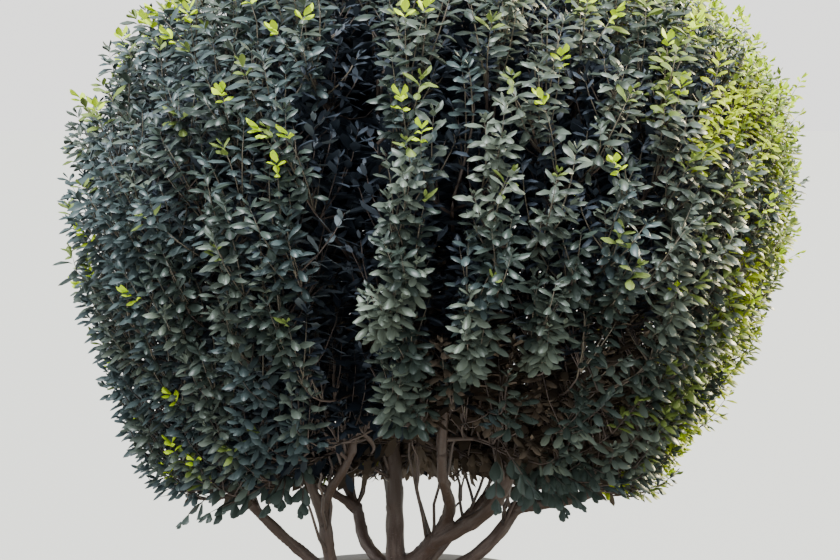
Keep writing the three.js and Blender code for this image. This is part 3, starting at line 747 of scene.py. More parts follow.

# %% [markdown]
# Other shoots have no place on the lattice. Some close the crown from below, except under the front,
# where the limbs show. Two clouds of shoots, close behind the bare stems and in the heart of the crown,
# keep out the light from behind; they fill what is mostly shade on the plant, and their dark leaves are
# painted shade. The last are loose shoots below the skirt, which the shears missed: those in front are
# placed as in the photograph, and the rest are dealt round the crown.

# %% Shoots inside and below the crown
UNDER_SHOOTS = 420
UNDER_HEIGHT = (0.01, 0.07)  # over the underside
# how many shoots, the middle of their cloud, its half sizes, and the size of their leaves
CLOUDS = (
    (560, (0.06, 0.13, 0.855), (0.34, 0.16, 0.062), 0.85),
    (330, (-0.01, 0.14, 1.18), (0.26, 0.12, 0.19), 1.4),
)
HANGING = 26
HANGING_DROP = (0.005, 0.035)
HANGING_OUT = 0.02
# degrees to the right of the front, height, and radius of the tip
FRONT_LOOSE = (
    (-50.5, 0.838, 0.560), (-46.5, 0.852, 0.540), (-42.0, 0.872, 0.520), (-35.5, 0.868, 0.490),
    (-32.0, 0.880, 0.480), (-28.0, 0.872, 0.470), (14.0, 0.882, 0.445), (20.5, 0.884, 0.440),
    (22.5, 0.908, 0.455), (24.5, 0.874, 0.435), (26.5, 0.912, 0.450), (28.5, 0.884, 0.445),
    (30.0, 0.908, 0.455), (31.5, 0.858, 0.440), (33.5, 0.910, 0.455), (35.0, 0.872, 0.450),
    (37.0, 0.912, 0.465), (38.5, 0.886, 0.460), (41.0, 0.915, 0.475),
)


def nearest_spray(points):
    return np.array([np.linalg.norm(spray_end - point, axis=1).argmin() for point in points])


def loose_rows(share, azimuth, end, way, spray, inset, leaf_size, reach):
    same = (np.full(len(end), value) for value in (inset, leaf_size, reach))
    return [share, azimuth, end, way, spray, *same]


def under_ends():
    """Shoots that close the crown from below, except at the front."""
    random = np.random.default_rng(29)
    azimuth = random.uniform(0, TAU, UNDER_SHOOTS)
    share = UNDERSIDE * random.uniform(0, 1, UNDER_SHOOTS)
    end = outline(share, azimuth) + UP * random.uniform(*UNDER_HEIGHT, (UNDER_SHOOTS, 1))
    level = radial(azimuth + random.normal(0, 0.7, UNDER_SHOOTS), np.ones(UNDER_SHOOTS), 0)
    way = unit(level + UP * random.uniform(-0.5, 0.9, (UNDER_SHOOTS, 1)))
    kept = random.uniform(size=UNDER_SHOOTS) > open_front(azimuth)
    share, azimuth, end, way = (part[kept] for part in (share, azimuth, end, way))
    return loose_rows(share, azimuth, end, way, nearest_spray(end), 0.03, 1.1, 0.11)


def middle_ends():
    """Shoots in clouds, with ends that point all ways. Their leaves get painted shade."""
    random = np.random.default_rng(37)
    clouds = []
    for count, place, size, leaf_size in CLOUDS:
        away = unit(random.normal(0, 1, (count, 3))) * random.uniform(0, 1, (count, 1)) ** 0.4
        end = away * size + place
        way = unit(random.normal(0, 1, (count, 3)) + UP * 0.6)
        azimuth = np.arctan2(end[:, 1], end[:, 0] - HUB[0])
        share = np.full(count, 0.0 if place[2] < SKIRT + 0.1 else WAIST)
        clouds.append(loose_rows(share, azimuth, end, way, nearest_spray(end), 0.03, leaf_size, 0.11))
    return [np.concatenate(parts) for parts in zip(*clouds)]


def hanging_ends():
    """Loose shoots below the skirt: those that the photograph shows, and others dealt round the crown."""
    random = np.random.default_rng(19)
    tips = np.array(FRONT_LOOSE)
    azimuth = FRONT + np.radians(tips[:, 0])
    end = radial(azimuth, tips[:, 2], tips[:, 1]) + HUB
    rest = random.uniform(math.radians(8), math.radians(172), HANGING)
    drop = UP * random.uniform(*HANGING_DROP, (HANGING, 1))
    out = radial(rest, np.full(HANGING, HANGING_OUT), 0)
    end = np.concatenate([end, outline(UNDERSIDE, rest) + out - drop])
    azimuth = np.concatenate([azimuth, rest])
    count = len(azimuth)
    level = radial(azimuth + random.normal(0, 0.5, count), np.ones(count), 0)
    way = unit(level - UP * random.uniform(0.0, 0.4, (count, 1)))
    share = np.full(count, UNDERSIDE)
    return loose_rows(share, azimuth, end, way, nearest_spray(end + UP * 0.04), 0.03, 1.0, 0.12)


layers |= {"under": under_ends(), "middle": middle_ends(), "hanging": hanging_ends()}
print({layer: len(layers[layer][0]) for layer in ("under", "middle", "hanging")}, "shoots")

# %% [markdown]
# Now all shoots go into one table and are led back to their sprays. A shoot bends: it leaves the spray
# towards its end and arrives there in its own way, nearly upright on the surface and freely inside. The
# few that would have to reach too far for a spray are left out.

# %% All shoots together
LONGEST_SHOOT = 0.21
OWN_WAY = 2.4  # weight of a shoot's own way against the straight way from its root
OWN_WAY_LOOSE = 0.4

shoot_keys = ("share", "azimuth", "end", "way", "spray", "inset", "leaf_size", "reach")
shoots = {key: np.concatenate([layer[k] for layer in layers.values()]) for k, key in enumerate(shoot_keys)}
shoots["layer"] = np.repeat(list(layers), [len(layer[0]) for layer in layers.values()])
shoots["shaded"] = np.isin(shoots["layer"], ["shade", "deep", "under", "middle"])
shoot_root = root_on_spray(shoots["end"], shoots["way"], shoots["spray"], shoots["reach"])
loose = np.isin(shoots["layer"], ["under", "middle", "hanging"])[:, None]
own_way = np.where(loose, OWN_WAY_LOOSE, OWN_WAY) * shoots["way"]
shoots["way"] = unit(own_way + unit(shoots["end"] - shoot_root))
shoot_arcs = arcs(shoot_root, shoots["end"], shoots["way"], 0.5)
off_surface = np.isin(shoots["layer"], ["middle", "hanging"])
shoot_arcs = np.where(off_surface[:, None, None], shoot_arcs, lifted(shoot_arcs))
kept = off_surface | (np.linalg.norm(shoots["end"] - shoot_root, axis=1) < LONGEST_SHOOT)
shoots = chosen(shoots, kept)
shoot_arcs = shoot_arcs[kept]
shoot_paths = bezier(shoot_arcs, SHOOT_RINGS)
shoot_radii = np.broadcast_to(mix(*SHOOT_RADII, SHOOT_RINGS), shoot_paths.shape[:2])
shoot_mass = mass_of(shoots["share"], shoots["azimuth"])
print(len(shoot_paths), "shoots,", int(shoots["shaded"].sum()), "of them in the shade")

# %% [markdown]
# A privet leaf is a leathery oval, widest past its middle. It leaves its shoot upwards, bends over in an
# even arc until its tip points down, and turns its margins under, so that the crest of the arch catches
# the light from above. Twelve triangles give that shape. Leaves between the leaders have eight triangles,
# and those in the shade, which hardly show, four. A picture of a leaf on a rectangle would need only two,
# but its edge would be no real edge.

# %% The leaf's blade
# layers, rows of the blade as (how far along, half the width there), its corners across, and its pairs
LEAF_KINDS = (
    (("leader",), ((0.24, 0.56), (0.58, 1.0), (0.87, 0.76)), (-1, 0, 1), slice(0, None)),
    (("hanging",), ((0.24, 0.56), (0.58, 1.0), (0.87, 0.76)), (-1, 0, 1), slice(0, None, 2)),
    (("filler", "sunny"), ((0.30, 0.76), (0.76, 0.90)), (-1, 0, 1), slice(0, None)),
    (("shade", "deep", "under", "middle"), ((0.30, 0.80), (0.76, 0.88)), (-1, 1), slice(1, None)),
)


def blade(rows, across):
    """Corners of a flat blade as (along, across), and its triangles, with the upper side facing up."""
    corners = [(0.0, 0.0)]
    triangles = []
    step = len(across)
    for number, (along, half) in enumerate(rows):
        first = 1 + step * number
        corners += [(along, half * side) for side in across]
        for left in range(first, first + step - 1):
            if number == 0:
                triangles.append((0, left, left + 1))
            else:
                triangles += [(left - step, left, left + 1), (left - step, left + 1, left + 1 - step)]
    tip = len(corners)
    corners.append((1.0, 0.0))
    triangles += [(left, tip, left + 1) for left in range(tip - step, tip - 1)]
    return np.array(corners), np.array(triangles)


for layer_names, rows, across, pairs in LEAF_KINDS:
    print(len(blade(rows, across)[1]), "triangles a leaf on", ", ".join(layer_names), "shoots")

# %% [markdown]
# Leaves stand in pairs, each pair a quarter turn on from the last, close together and upright at the tip,
# wider apart and more spread further back. Here each leaf gets a row with its base, the way it grows, the
# way its upper side faces and its length. What would hang below the clipped underside or stand in a limb
# is left out.

# %% Leaves in pairs
LEAF_LENGTH = 0.038
PAIR_BACK = np.array([0.001, 0.008, 0.020, 0.035, 0.052, 0.070, 0.089, 0.108, 0.127])
PAIR_ANGLE = np.radians([10, 18, 27, 34, 38, 41, 43, 45, 46])
PAIR_SIZE = np.array([0.42, 0.72, 0.94, 1.05, 1.05, 1.0, 0.97, 0.93, 0.9])
LENGTH_SPREAD = (0.78, 1.16)
BARE_FOOT = 0.12  # of a shoot's length
TURN_SPREAD = 0.22
FACE_UP = 1.2
BARK_CLEARANCE = 0.004
SHEARED = (0.020, 0.050)  # how far above the clipped underside the lowest leaves stand


def leaf_rows(arcs_of, ways_back, seed, sizes):
    """One row for each leaf of each pair on each shoot."""
    random = np.random.default_rng(seed)
    shoots_here = len(arcs_of)
    lengths = np.linalg.norm(np.diff(bezier(arcs_of, np.linspace(0, 1, 7)), axis=1), axis=2).sum(axis=1)
    back = ways_back[None] * random.uniform(0.85, 1.2, (shoots_here, 1))
    share = 1 - back / lengths[:, None]
    stands = share > BARE_FOOT
    share = np.clip(share, 0, 1)
    base = bezier(arcs_of, share)
    axis = slope(arcs_of, share)
    side = unit(np.cross(axis, SKEW))
    other = np.cross(axis, side)
    pair = np.arange(len(ways_back))
    turn = random.uniform(0, TAU, (shoots_here, 1)) + pair * math.pi / 2
    rows = []
    for half in (0, 1):
        spin = turn + half * math.pi + random.normal(0, TURN_SPREAD, share.shape)
        angle = PAIR_ANGLE[pair] * random.uniform(0.8, 1.2, share.shape)
        out = side * np.cos(spin)[..., None] + other * np.sin(spin)[..., None]
        along = unit(axis * np.cos(angle)[..., None] + out * np.sin(angle)[..., None])
        facing = axis + UP * FACE_UP
        facing = unit(facing - along * dot(facing, along))
        length = LEAF_LENGTH * sizes[:, None] * PAIR_SIZE[pair] * random.uniform(*LENGTH_SPREAD, share.shape)
        number = np.broadcast_to(np.arange(shoots_here)[:, None], share.shape)
        order = np.broadcast_to(pair, share.shape)
        rows.append([part[stands] for part in (base, along, facing, length, number, order)])
    keys = ("base", "along", "facing", "length", "shoot", "pair")
    return {key: np.concatenate([rows[0][k], rows[1][k]]) for k, key in enumerate(keys)}


def above_shears(leaves, seed):
    """The same rows without the leaves that the shears have taken from under the crown."""
    random = np.random.default_rng(seed)
    lowest = clipped_underside(leaves["base"]) + random.uniform(*SHEARED, len(leaves["base"]))
    missed = np.isin(shoots["layer"][leaves["shoot"]], ["middle", "hanging"])
    return chosen(leaves, (leaves["base"][:, 2] > lowest) | missed)


def clear_of_bark(leaves):
    """The same rows without the leaves that would stand in a limb."""
    samples = [(point, radius) for line, radii in limbs.values() for point, radius in zip(line, radii)]
    near = tree_of([point for point, radius in samples])
    clear = np.ones(len(leaves["base"]), bool)
    for reach in (0.0, 0.5, 1.0):
        points = leaves["base"] + leaves["along"] * leaves["length"][:, None] * reach
        for row, point in enumerate(points):
            place, number, distance = near.find(point)
            clear[row] &= distance > samples[number][1] + BARK_CLEARANCE
    return chosen(leaves, clear)


leaf_sets = []
for number, (layer_names, rows, across, pairs) in enumerate(LEAF_KINDS):
    mine = np.flatnonzero(np.isin(shoots["layer"], layer_names))
    leaves = leaf_rows(shoot_arcs[mine], PAIR_BACK[pairs], 21 + number, shoots["leaf_size"][mine])
    leaves["shoot"] = mine[leaves["shoot"]]
    leaves = clear_of_bark(above_shears(leaves, 51 + number))
    leaf_sets.append((leaves, *blade(rows, across)))
    print(len(leaves["base"]), "leaves on", ", ".join(layer_names), "shoots")
leafy = np.unique(np.concatenate([leaves["shoot"] for leaves, corners, triangles in leaf_sets]))
print(len(leafy), "shoots carry them")

# %% [markdown]
# Each row now becomes a blade. It is bent over into an arc along its length, as far as its tip may hang,
# its margins are turned under, and it is twisted a little, each leaf by an amount of its own. All corners
# of all leaves move at once, so this takes no longer than one leaf would by hand.

# %% Leaves in their arched shape
LEAF_WIDTH = 0.36  # of its length
ROUND_WIDTH = 1.35  # of the youngest leaves and of those on the loose shoots, against the others
WIDTH_SPREAD = (0.88, 1.12)
LEAF_BEND = (1.1, 1.95)  # radians from base to tip
PAIR_BEND = np.array([0.40, 0.75, 0.95, 1.0, 1.0, 1.0, 1.0, 1.0, 1.0])
LEAST_BEND = 0.3
STEEPEST = 1.1  # radians below level, the most that a tip hangs
MARGIN_CURL = (0.55, 1.15)
LEAF_TWIST = 0.2


def leaf_points(leaves, corners):
    """The corners of every leaf, arched, with its margins turned down and a slight twist."""
    random = np.random.default_rng(41)
    count = len(leaves["base"])
    run, across = corners[:, 0], corners[:, 1]
    length = leaves["length"][:, None]
    half_width = length * LEAF_WIDTH / 2 * random.uniform(*WIDTH_SPREAD, (count, 1))
    rounder = (leaves["tint"] == TINT["leaf_fresh"]) | (shoots["layer"][leaves["shoot"]] == "hanging")
    half_width *= np.where(rounder, ROUND_WIDTH, 1)[:, None]
    bend = random.uniform(*LEAF_BEND, (count, 1)) * PAIR_BEND[leaves["pair"]][:, None]
    most = np.maximum(np.arcsin(leaves["along"][:, 2:]) + STEEPEST, LEAST_BEND)
    bend = np.clip(bend, LEAST_BEND, most)
    curl = random.uniform(*MARGIN_CURL, (count, 1))
    twist = random.normal(0, LEAF_TWIST, (count, 1))
    turned = bend * run
    under = half_width * (curl * np.abs(across) ** 1.4 + twist * across * run)
    ahead = length * np.sin(turned) / bend - under * np.sin(turned)
    below = length * (1 - np.cos(turned)) / bend + under * np.cos(turned)
    sideways = np.cross(leaves["facing"], leaves["along"])
    return (
        leaves["base"][:, None]
        + leaves["along"][:, None] * ahead[..., None]
        + sideways[:, None] * (across * half_width)[..., None]
        - leaves["facing"][:, None] * below[..., None]
    )


def all_blades():
    """For each kind of leaf its rows, the corners of all its blades, and the triangles of one blade."""
    return [(leaves, leaf_points(leaves, corners), triangles) for leaves, corners, triangles in leaf_sets]


print("a full leaf is", 1000 * LEAF_LENGTH, "mm long and", round(1000 * LEAF_LENGTH * LEAF_WIDTH), "mm wide")

# %% [markdown]
# The leaves of one spray share a tint, so the colour is dealt by spray: grey-green in front, cool and bluish
# on the shaded left, where the blue is painted shade, and olive and yellow-green on the side that faces the
# sun, where that is painted sunlight. The shoots in the shade get a near-black painted shade, lifted to a
# bluish painted haze towards the left and to a brown painted warm shade low on the right and behind the
# stems. One material with a pattern could do this too, but plain colours stay exact on a piece made of
# thousands of small blades.

# %% Tints, dealt by spray
TINTS = {
    # painted shade, for the shoots deep in the crown and in the shade layers
    "leaf_painted_shade": (0.032, 0.042, 0.056),
    # brown painted warm shade, low on the right and under and in the middle of the crown
    "leaf_painted_warm_shade": (0.115, 0.086, 0.060),
    # bluish painted haze, on the shoots in the shade towards the left
    "leaf_painted_haze": (0.110, 0.132, 0.142),
    "leaf_blue": (0.060, 0.084, 0.082),
    "leaf_dark": (0.044, 0.060, 0.048),
    "leaf_grey": (0.086, 0.106, 0.082),
    "leaf_pale": (0.135, 0.160, 0.120),
    "leaf_olive": (0.170, 0.225, 0.050),
    # painted sunlight, on the side that faces the sun
    "leaf_painted_sunlight": (0.380, 0.460, 0.012),
    "leaf_fresh": (0.560, 0.740, 0.012),
}
TINT = {name: number for number, name in enumerate(TINTS)}
DEAL = {
    # zones of painted light: painted sunlight where a spray faces the sun, half of it at the zone's edge, and
    # bluish painted shade on the cool left
    "sunlit": {"leaf_painted_sunlight": 0.72, "leaf_olive": 0.23, "leaf_pale": 0.05},
    "half": {"leaf_olive": 0.37, "leaf_grey": 0.34, "leaf_pale": 0.12, "leaf_dark": 0.17},
    "cool": {"leaf_blue": 0.6, "leaf_grey": 0.22, "leaf_dark": 0.18},
    "plain": {"leaf_grey": 0.54, "leaf_dark": 0.22, "leaf_pale": 0.16, "leaf_blue": 0.08},
}
DEEP_INSET = 0.06
ZONE_SPREAD = (0.10, 0.10)  # how far the sunlit zone frays, and how much more behind
COOL_SPREAD = 0.16
SUNLIT_FROM = 0.75
HALF_FROM = 0.54
COOL_FROM = 0.25
SWAPPED = (0.1, 0.22)  # shoots with a tint of their own: on the cool side, and elsewhere
# shares of the shoots that get painted shade under the crown, a bluish painted haze and a brown painted warm
# shade
LOW_PAINTED_SHADE_SHARE = 0.35
PAINTED_HAZE_SHARE = 0.85
PAINTED_WARM_SHADE_SHARE = 0.8

random = np.random.default_rng(31)
facing = outwards(head_share, head_azimuth)
sunlit = facing_sun(head_share, head_azimuth)
frayed = ZONE_SPREAD[0] + ZONE_SPREAD[1] * smooth(0, 0.5, facing[:, 1])
dealt = sunlit + random.normal(0, frayed, len(sunlit))
cool = -facing[:, 0] + random.normal(0, COOL_SPREAD, len(sunlit))
# the sunlit and half zones get painted sunlight, the cool zone bluish painted shade
levels = [dealt > SUNLIT_FROM, dealt > HALF_FROM, cool > COOL_FROM]
zone = np.select(levels, ["sunlit", "half", "cool"], "plain")
spray_tint = np.empty(len(zone), int)
for name, chances in DEAL.items():
    here = zone == name
    spray_tint[here] = random.choice([TINT[tint] for tint in chances], here.sum(), p=list(chances.values()))

count = len(shoots["end"])
shoot_tint = spray_tint[shoots["spray"]].copy()
swapped = random.uniform(size=count) < np.where(zone[shoots["spray"]] == "cool", *SWAPPED)
others = [TINT["leaf_dark"], TINT["leaf_grey"], TINT["leaf_pale"]]
shoot_tint[swapped] = random.choice(others, swapped.sum())
# Painted shade: a share of the shoots under the crown get a darker tint.
low = (shoots["share"] < UNDERSIDE) & (random.uniform(size=count) < LOW_PAINTED_SHADE_SHARE)
# Shoots deep in the crown and in the shade layers get the near-black painted shade.
hidden = (shoots["inset"] > DEEP_INSET) | shoots["shaded"]
draw = random.uniform(size=count)
# Towards the left much of that painted shade is lifted to a bluish painted haze.
painted_haze = hidden & (draw < PAINTED_HAZE_SHARE * smooth(0.05, 0.40, -shoots["end"][:, 0]))
# Low on the right, and on most shoots under and in the middle of the crown, it is a brown painted warm shade.
low_right = smooth(-0.15, 0.20, shoots["end"][:, 0]) * (1 - smooth(1.15, 1.35, shoots["end"][:, 2]))
painted_warm_shade = hidden & (draw < low_right)
painted_warm_shade |= np.isin(shoots["layer"], ["under", "middle"]) & (random.uniform(size=count) < PAINTED_WARM_SHADE_SHARE)
# The loose shoots below the skirt get a darker tint as painted shade.
hanging = shoots["layer"] == "hanging"
painted_shade_rules = (
    (low, "leaf_dark"),
    (hidden, "leaf_painted_shade"),
    (painted_haze, "leaf_painted_haze"),
    (painted_warm_shade, "leaf_painted_warm_shade"),
    (hanging, "leaf_dark"),
)
for rows, tint in painted_shade_rules:
    shoot_tint[rows] = TINT[tint]
print("tints are dealt to", len(spray_tint), "sprays;", int(hidden.sum()), "shoots are in the shade")

# %% [markdown]
# The youngest pairs at the ends of some shoots are olive or bright yellow-green. Chance picks the shoots,
# and they are more towards the top, on the far left and where a shoot stands proud, and more on the side
# that faces the sun, where the extra yellow-green is painted sunlight. Young leaves are short and round.
# Painting by height alone would give bands, and here old and young mix.

# %% Young leaves
FRESH_LENGTH = 0.66  # against the others
YOUNG_INSET = 0.03  # deeper shoots have no young leaves

shoot_sun = sunlit[shoots["spray"]]
young = (~shoots["shaded"]) & (shoots["inset"] < YOUNG_INSET)
height = shoots["end"][:, 2]
# Both chances rise with shoot_sun: that part of the yellow-green is painted sunlight.
fresh_chance = 0.012 + 0.55 * smooth(1.42, 1.76, height) + 0.3 * smooth(0.55, 0.9, shoot_sun)
fresh_chance += 0.05 * smooth(0.5, 0.9, -facing[shoots["spray"], 0]) + 0.08 * (shoots["inset"] < -0.008)
olive_chance = 0.10 + 0.25 * smooth(1.2, 1.7, height) + 0.3 * smooth(0.35, 0.75, shoot_sun)
draw = random.uniform(size=count)
fresh_pairs = np.where((draw < fresh_chance) & young, random.integers(2, 4, count), 0)
olive_pairs = np.where((random.uniform(size=count) < olive_chance) & young, random.integers(2, 5, count), 0)
for leaves, corners, triangles in leaf_sets:
    shoot, pair = leaves["shoot"], leaves["pair"]
    levels = [pair < fresh_pairs[shoot], pair < olive_pairs[shoot]]
    leaves["tint"] = np.select(levels, [TINT["leaf_fresh"], TINT["leaf_olive"]], shoot_tint[shoot])
    young_length = LEAF_LENGTH * FRESH_LENGTH * shoots["leaf_size"][shoot] * (1 - 0.08 * pair)
    leaves["length"] = np.where(levels[0], young_length, leaves["length"])
all_tints = np.concatenate([leaves["tint"] for leaves, corners, triangles in leaf_sets])
print({name: int((all_tints == number).sum()) for name, number in TINT.items()})

# %% [markdown]
# Every material here is a node tree on one Principled shader. One effect comes back in all the patterned
# ones, a soft mottling, so it is a node group that is built once and puts out only a mask. The shader
# itself stays in the material.

# %% Shader groups
def build_mottle():
    group = bpy.data.node_groups.new("mottle", "ShaderNodeTree")
    group.interface.new_socket("Vector", in_out="INPUT", socket_type="NodeSocketVector")
    for label, value in (("Scale", 10.0), ("Low", 0.35), ("High", 0.65)):
        socket = group.interface.new_socket(label, in_out="INPUT", socket_type="NodeSocketFloat")
        socket.default_value = value
    group.interface.new_socket("Mask", in_out="OUTPUT", socket_type="NodeSocketFloat")
    entry = group.nodes.new("NodeGroupInput").outputs
    cloud = group.nodes.new("ShaderNodeTexNoise")
    cloud.inputs["Detail"].default_value = 5.0
    cloud.inputs["Roughness"].default_value = 0.6
    ramp = group.nodes.new("ShaderNodeMapRange")
    leave = group.nodes.new("NodeGroupOutput")
    links = (
        (entry["Vector"], cloud.inputs["Vector"]),
        (entry["Scale"], cloud.inputs["Scale"]),
        (cloud.outputs["Fac"], ramp.inputs["Value"]),
        (entry["Low"], ramp.inputs["From Min"]),
        (entry["High"], ramp.inputs["From Max"]),
        (ramp.outputs["Result"], leave.inputs["Mask"]),
    )
    for output, socket in links:
        group.links.new(output, socket)
    return group


MOTTLE = build_mottle()
print("shader group:", MOTTLE.name)

# %% [markdown]
# A small class keeps a material and its shader together, and adds and links the few kinds of node that
# are needed. The nodes could be made by hand in the editor, but so the same four or five lines would come
# back for every node.

# %% Materials made of nodes
class Finish:
    """One material and the shader that its nodes feed."""

    def __init__(self, name, roughness, **values):
        self.material = bpy.data.materials.new(name)
        self.material.use_nodes = True
        self.tree = self.material.node_tree
        self.shader = next(n for n in self.tree.nodes if n.type == "BSDF_PRINCIPLED")
        self.shader.inputs["Roughness"].default_value = roughness
        for label, value in values.items():
            self.shader.inputs[label.replace("_", " ")].default_value = value

    def node(self, kind, **settings):
        made = self.tree.nodes.new(kind)
        for label, value in settings.items():
            setattr(made, label, value)
        return made

    def link(self, output, socket):
        self.tree.links.new(output, socket)

    def place(self, attribute=None, stretch=(1.0, 1.0, 1.0)):
        """Where a pattern is read: Object coordinates or a piece's own attribute, stretched."""
        if attribute:
            source = self.node("ShaderNodeAttribute", attribute_name=attribute).outputs["Vector"]
        else:
            source = self.node("ShaderNodeTexCoord").outputs["Object"]
        mapping = self.node("ShaderNodeMapping")
        mapping.inputs["Scale"].default_value = stretch
        self.link(source, mapping.inputs["Vector"])
        return mapping.outputs["Vector"]

    def mottle(self, vector, scale, low=0.35, high=0.65):
        made = self.node("ShaderNodeGroup", node_tree=MOTTLE)
        self.link(vector, made.inputs["Vector"])
        for label, value in (("Scale", scale), ("Low", low), ("High", high)):
            made.inputs[label].default_value = value
        return made.outputs["Mask"]

    def blend(self, mask, first, second):
        """A colour between two others, each a plain colour or an output."""
        made = self.node("ShaderNodeMix", data_type="RGBA")
        self.link(mask, made.inputs["Factor"])
        for socket, value in zip((made.inputs[6], made.inputs[7]), (first, second)):
            if isinstance(value, tuple):
                socket.default_value = (*value, 1.0)
            else:
                self.link(value, socket)
        return made.outputs[2]

    def height(self, low, high, **settings):
        """A mask that rises from 0 at one height of the object to 1 at another."""
        split = self.node("ShaderNodeSeparateXYZ")
        self.link(self.node("ShaderNodeTexCoord").outputs["Object"], split.inputs["Vector"])
        made = self.node("ShaderNodeMapRange", **settings)
        made.inputs["From Min"].default_value = low
        made.inputs["From Max"].default_value = high
        self.link(split.outputs["Z"], made.inputs["Value"])
        return made.outputs["Result"]

    def spread(self, mask, low, high):
        made = self.node("ShaderNodeMapRange")
        made.inputs["To Min"].default_value = low
        made.inputs["To Max"].default_value = high
        self.link(mask, made.inputs["Value"])
        return made.outputs["Result"]

    def add(self, first, second, operation="ADD"):
        made = self.node("ShaderNodeMath", operation=operation)
        self.link(first, made.inputs[0])
        self.link(second, made.inputs[1])
        return made.outputs[0]

    def bump(self, height, distance, strength):
        made = self.node("ShaderNodeBump")
        made.inputs["Distance"].default_value = distance
        made.inputs["Strength"].default_value = strength
        self.link(height, made.inputs["Height"])
        self.link(made.outputs["Normal"], self.shader.inputs["Normal"])

    def colour(self, output):
        self.link(output, self.shader.inputs["Base Color"])

    def rough(self, output):
        self.link(output, self.shader.inputs["Roughness"])


print("methods of a finish:", ", ".join(name for name in vars(Finish) if not name.startswith("_")))

# %% [markdown]
# Bark is smooth and reddish-brown on the stems, pinkish tan low down where light from the ground reaches
# it, and darkened inside the crown, which is painted shade. The pattern follows the limbs: a piece's own
# attribute named grain holds the way round a limb and the way along it, so that streaks run with the wood.
# Object coordinates alone would cut across it. The outer shoots are younger and paler wood; the shoots in
# the shade and low in the crown get the darker twig colour as painted shade.

# %% Bark and twig finishes
def bark_finish():
    finish = Finish("bark", 0.62)
    streaks = finish.mottle(finish.place("grain", (1.0, 1.0, 0.16)), 150.0, 0.38, 0.66)
    patches = finish.mottle(finish.place("grain", (1.0, 1.0, 0.5)), 26.0, 0.36, 0.62)
    flecks = finish.mottle(finish.place("grain", (0.7, 0.7, 3.0)), 230.0, 0.60, 0.68)
    base = finish.blend(patches, (0.138, 0.086, 0.063), (0.218, 0.157, 0.130))
    base = finish.blend(streaks, base, (0.078, 0.048, 0.039))
    base = finish.blend(flecks, base, (0.300, 0.245, 0.214))
    # painted shade: from 0.6 m to 0.8 m up, the bark darkens to the near-black brown of the crown's shade
    finish.colour(finish.blend(finish.height(0.60, 0.80), base, (0.040, 0.022, 0.013)))
    finish.rough(finish.spread(streaks, 0.52, 0.78))
    finish.bump(finish.add(streaks, flecks), 0.0006, 0.8)
    return finish.material


def twig_finish(name, first, second):
    finish = Finish(name, 0.6)
    finish.colour(finish.blend(finish.mottle(finish.place(), 45.0), first, second))
    return finish.material


BARK = bark_finish()
# The dark twig colour is the real colour of old branches, and painted shade on shoots in the shade and low in
# the crown.
TWIG = twig_finish("twig", (0.045, 0.030, 0.023), (0.085, 0.058, 0.045))
YOUNG_TWIG = twig_finish("young_twig", (0.100, 0.085, 0.060), (0.190, 0.155, 0.110))
print("wood finishes:", ", ".join(wood.name for wood in (BARK, TWIG, YOUNG_TWIG)))

# %% [markdown]
# The leaf finish is plain on purpose, as said above: a leathery gloss over one colour. The light that
# slides over thousands of arched blades does the rest. The leaves with painted sunlight, the olive and the
# youngest leaves, and those with painted shade and painted haze are duller.

# %% Leaf finishes
LEAF_ROUGHNESS = 0.38
DULL_ROUGHNESS = 0.52
LEAF_SPECULAR = 0.42
DULL_SPECULAR = 0.3
DULL_TINTS = ("leaf_painted_sunlight", "leaf_olive", "leaf_fresh", "leaf_painted_shade", "leaf_painted_warm_shade", "leaf_painted_haze")

LEAF_MATERIALS = []
for name, tint in TINTS.items():
    dull = name in DULL_TINTS
    finish = Finish(name, DULL_ROUGHNESS if dull else LEAF_ROUGHNESS, Base_Color=(*tint, 1.0))
    finish.shader.inputs["Specular IOR Level"].default_value = DULL_SPECULAR if dull else LEAF_SPECULAR
    LEAF_MATERIALS.append(finish.material)
print(len(LEAF_MATERIALS), "leaf finishes")

# %% [markdown]
# Leaves and twigs are joined by mass, each kind apart, so that every mass of the packed model is replaced
# by its own two pieces. The arrays hold all corners of all leaves; adding the right multiple to a
# template's triangles numbers them. Twigs are three- to six-sided tubes that close in a point.

# %% Leaf and twig pieces
TWIG_SHADE_BELOW = 1.14  # shoots that end below this height get the dark twig colour as painted shade
MASS_NODES = {SECTORS: "foliage_centre"} | {k: f"foliage_{k + 1:02d}" for k in range(SECTORS)}


def joined_mesh(name, parts, materials):
    """One mesh from parts, each (vertices, triangles, material number of each triangle)."""
    vertices, triangles, numbers, first = [], [], [], 0
    for part_vertices, part_triangles, part_numbers in parts:
        vertices.append(part_vertices)
        triangles.append(part_triangles + first)
        numbers.append(part_numbers)
        first += len(part_vertices)
    mesh = bpy.data.meshes.new(name)
    mesh.from_pydata(np.concatenate(vertices).tolist(), [], np.concatenate(triangles).tolist())
    for material in materials:
        mesh.materials.append(material)
    mesh.polygons.foreach_set("material_index", np.concatenate(numbers).astype(np.int32))
    mesh.polygons.foreach_set("use_smooth", np.ones(len(mesh.polygons), bool))
    mesh.update()
    return mesh


def repeated(count, corners, triangles):
    return (triangles[None] + np.arange(count)[:, None, None] * corners).reshape(-1, 3)


def leaf_part(points, tints, triangles):
    numbers = np.repeat(tints, len(triangles))
    return points.reshape(-1, 3), repeated(len(points), points.shape[1], triangles), numbers


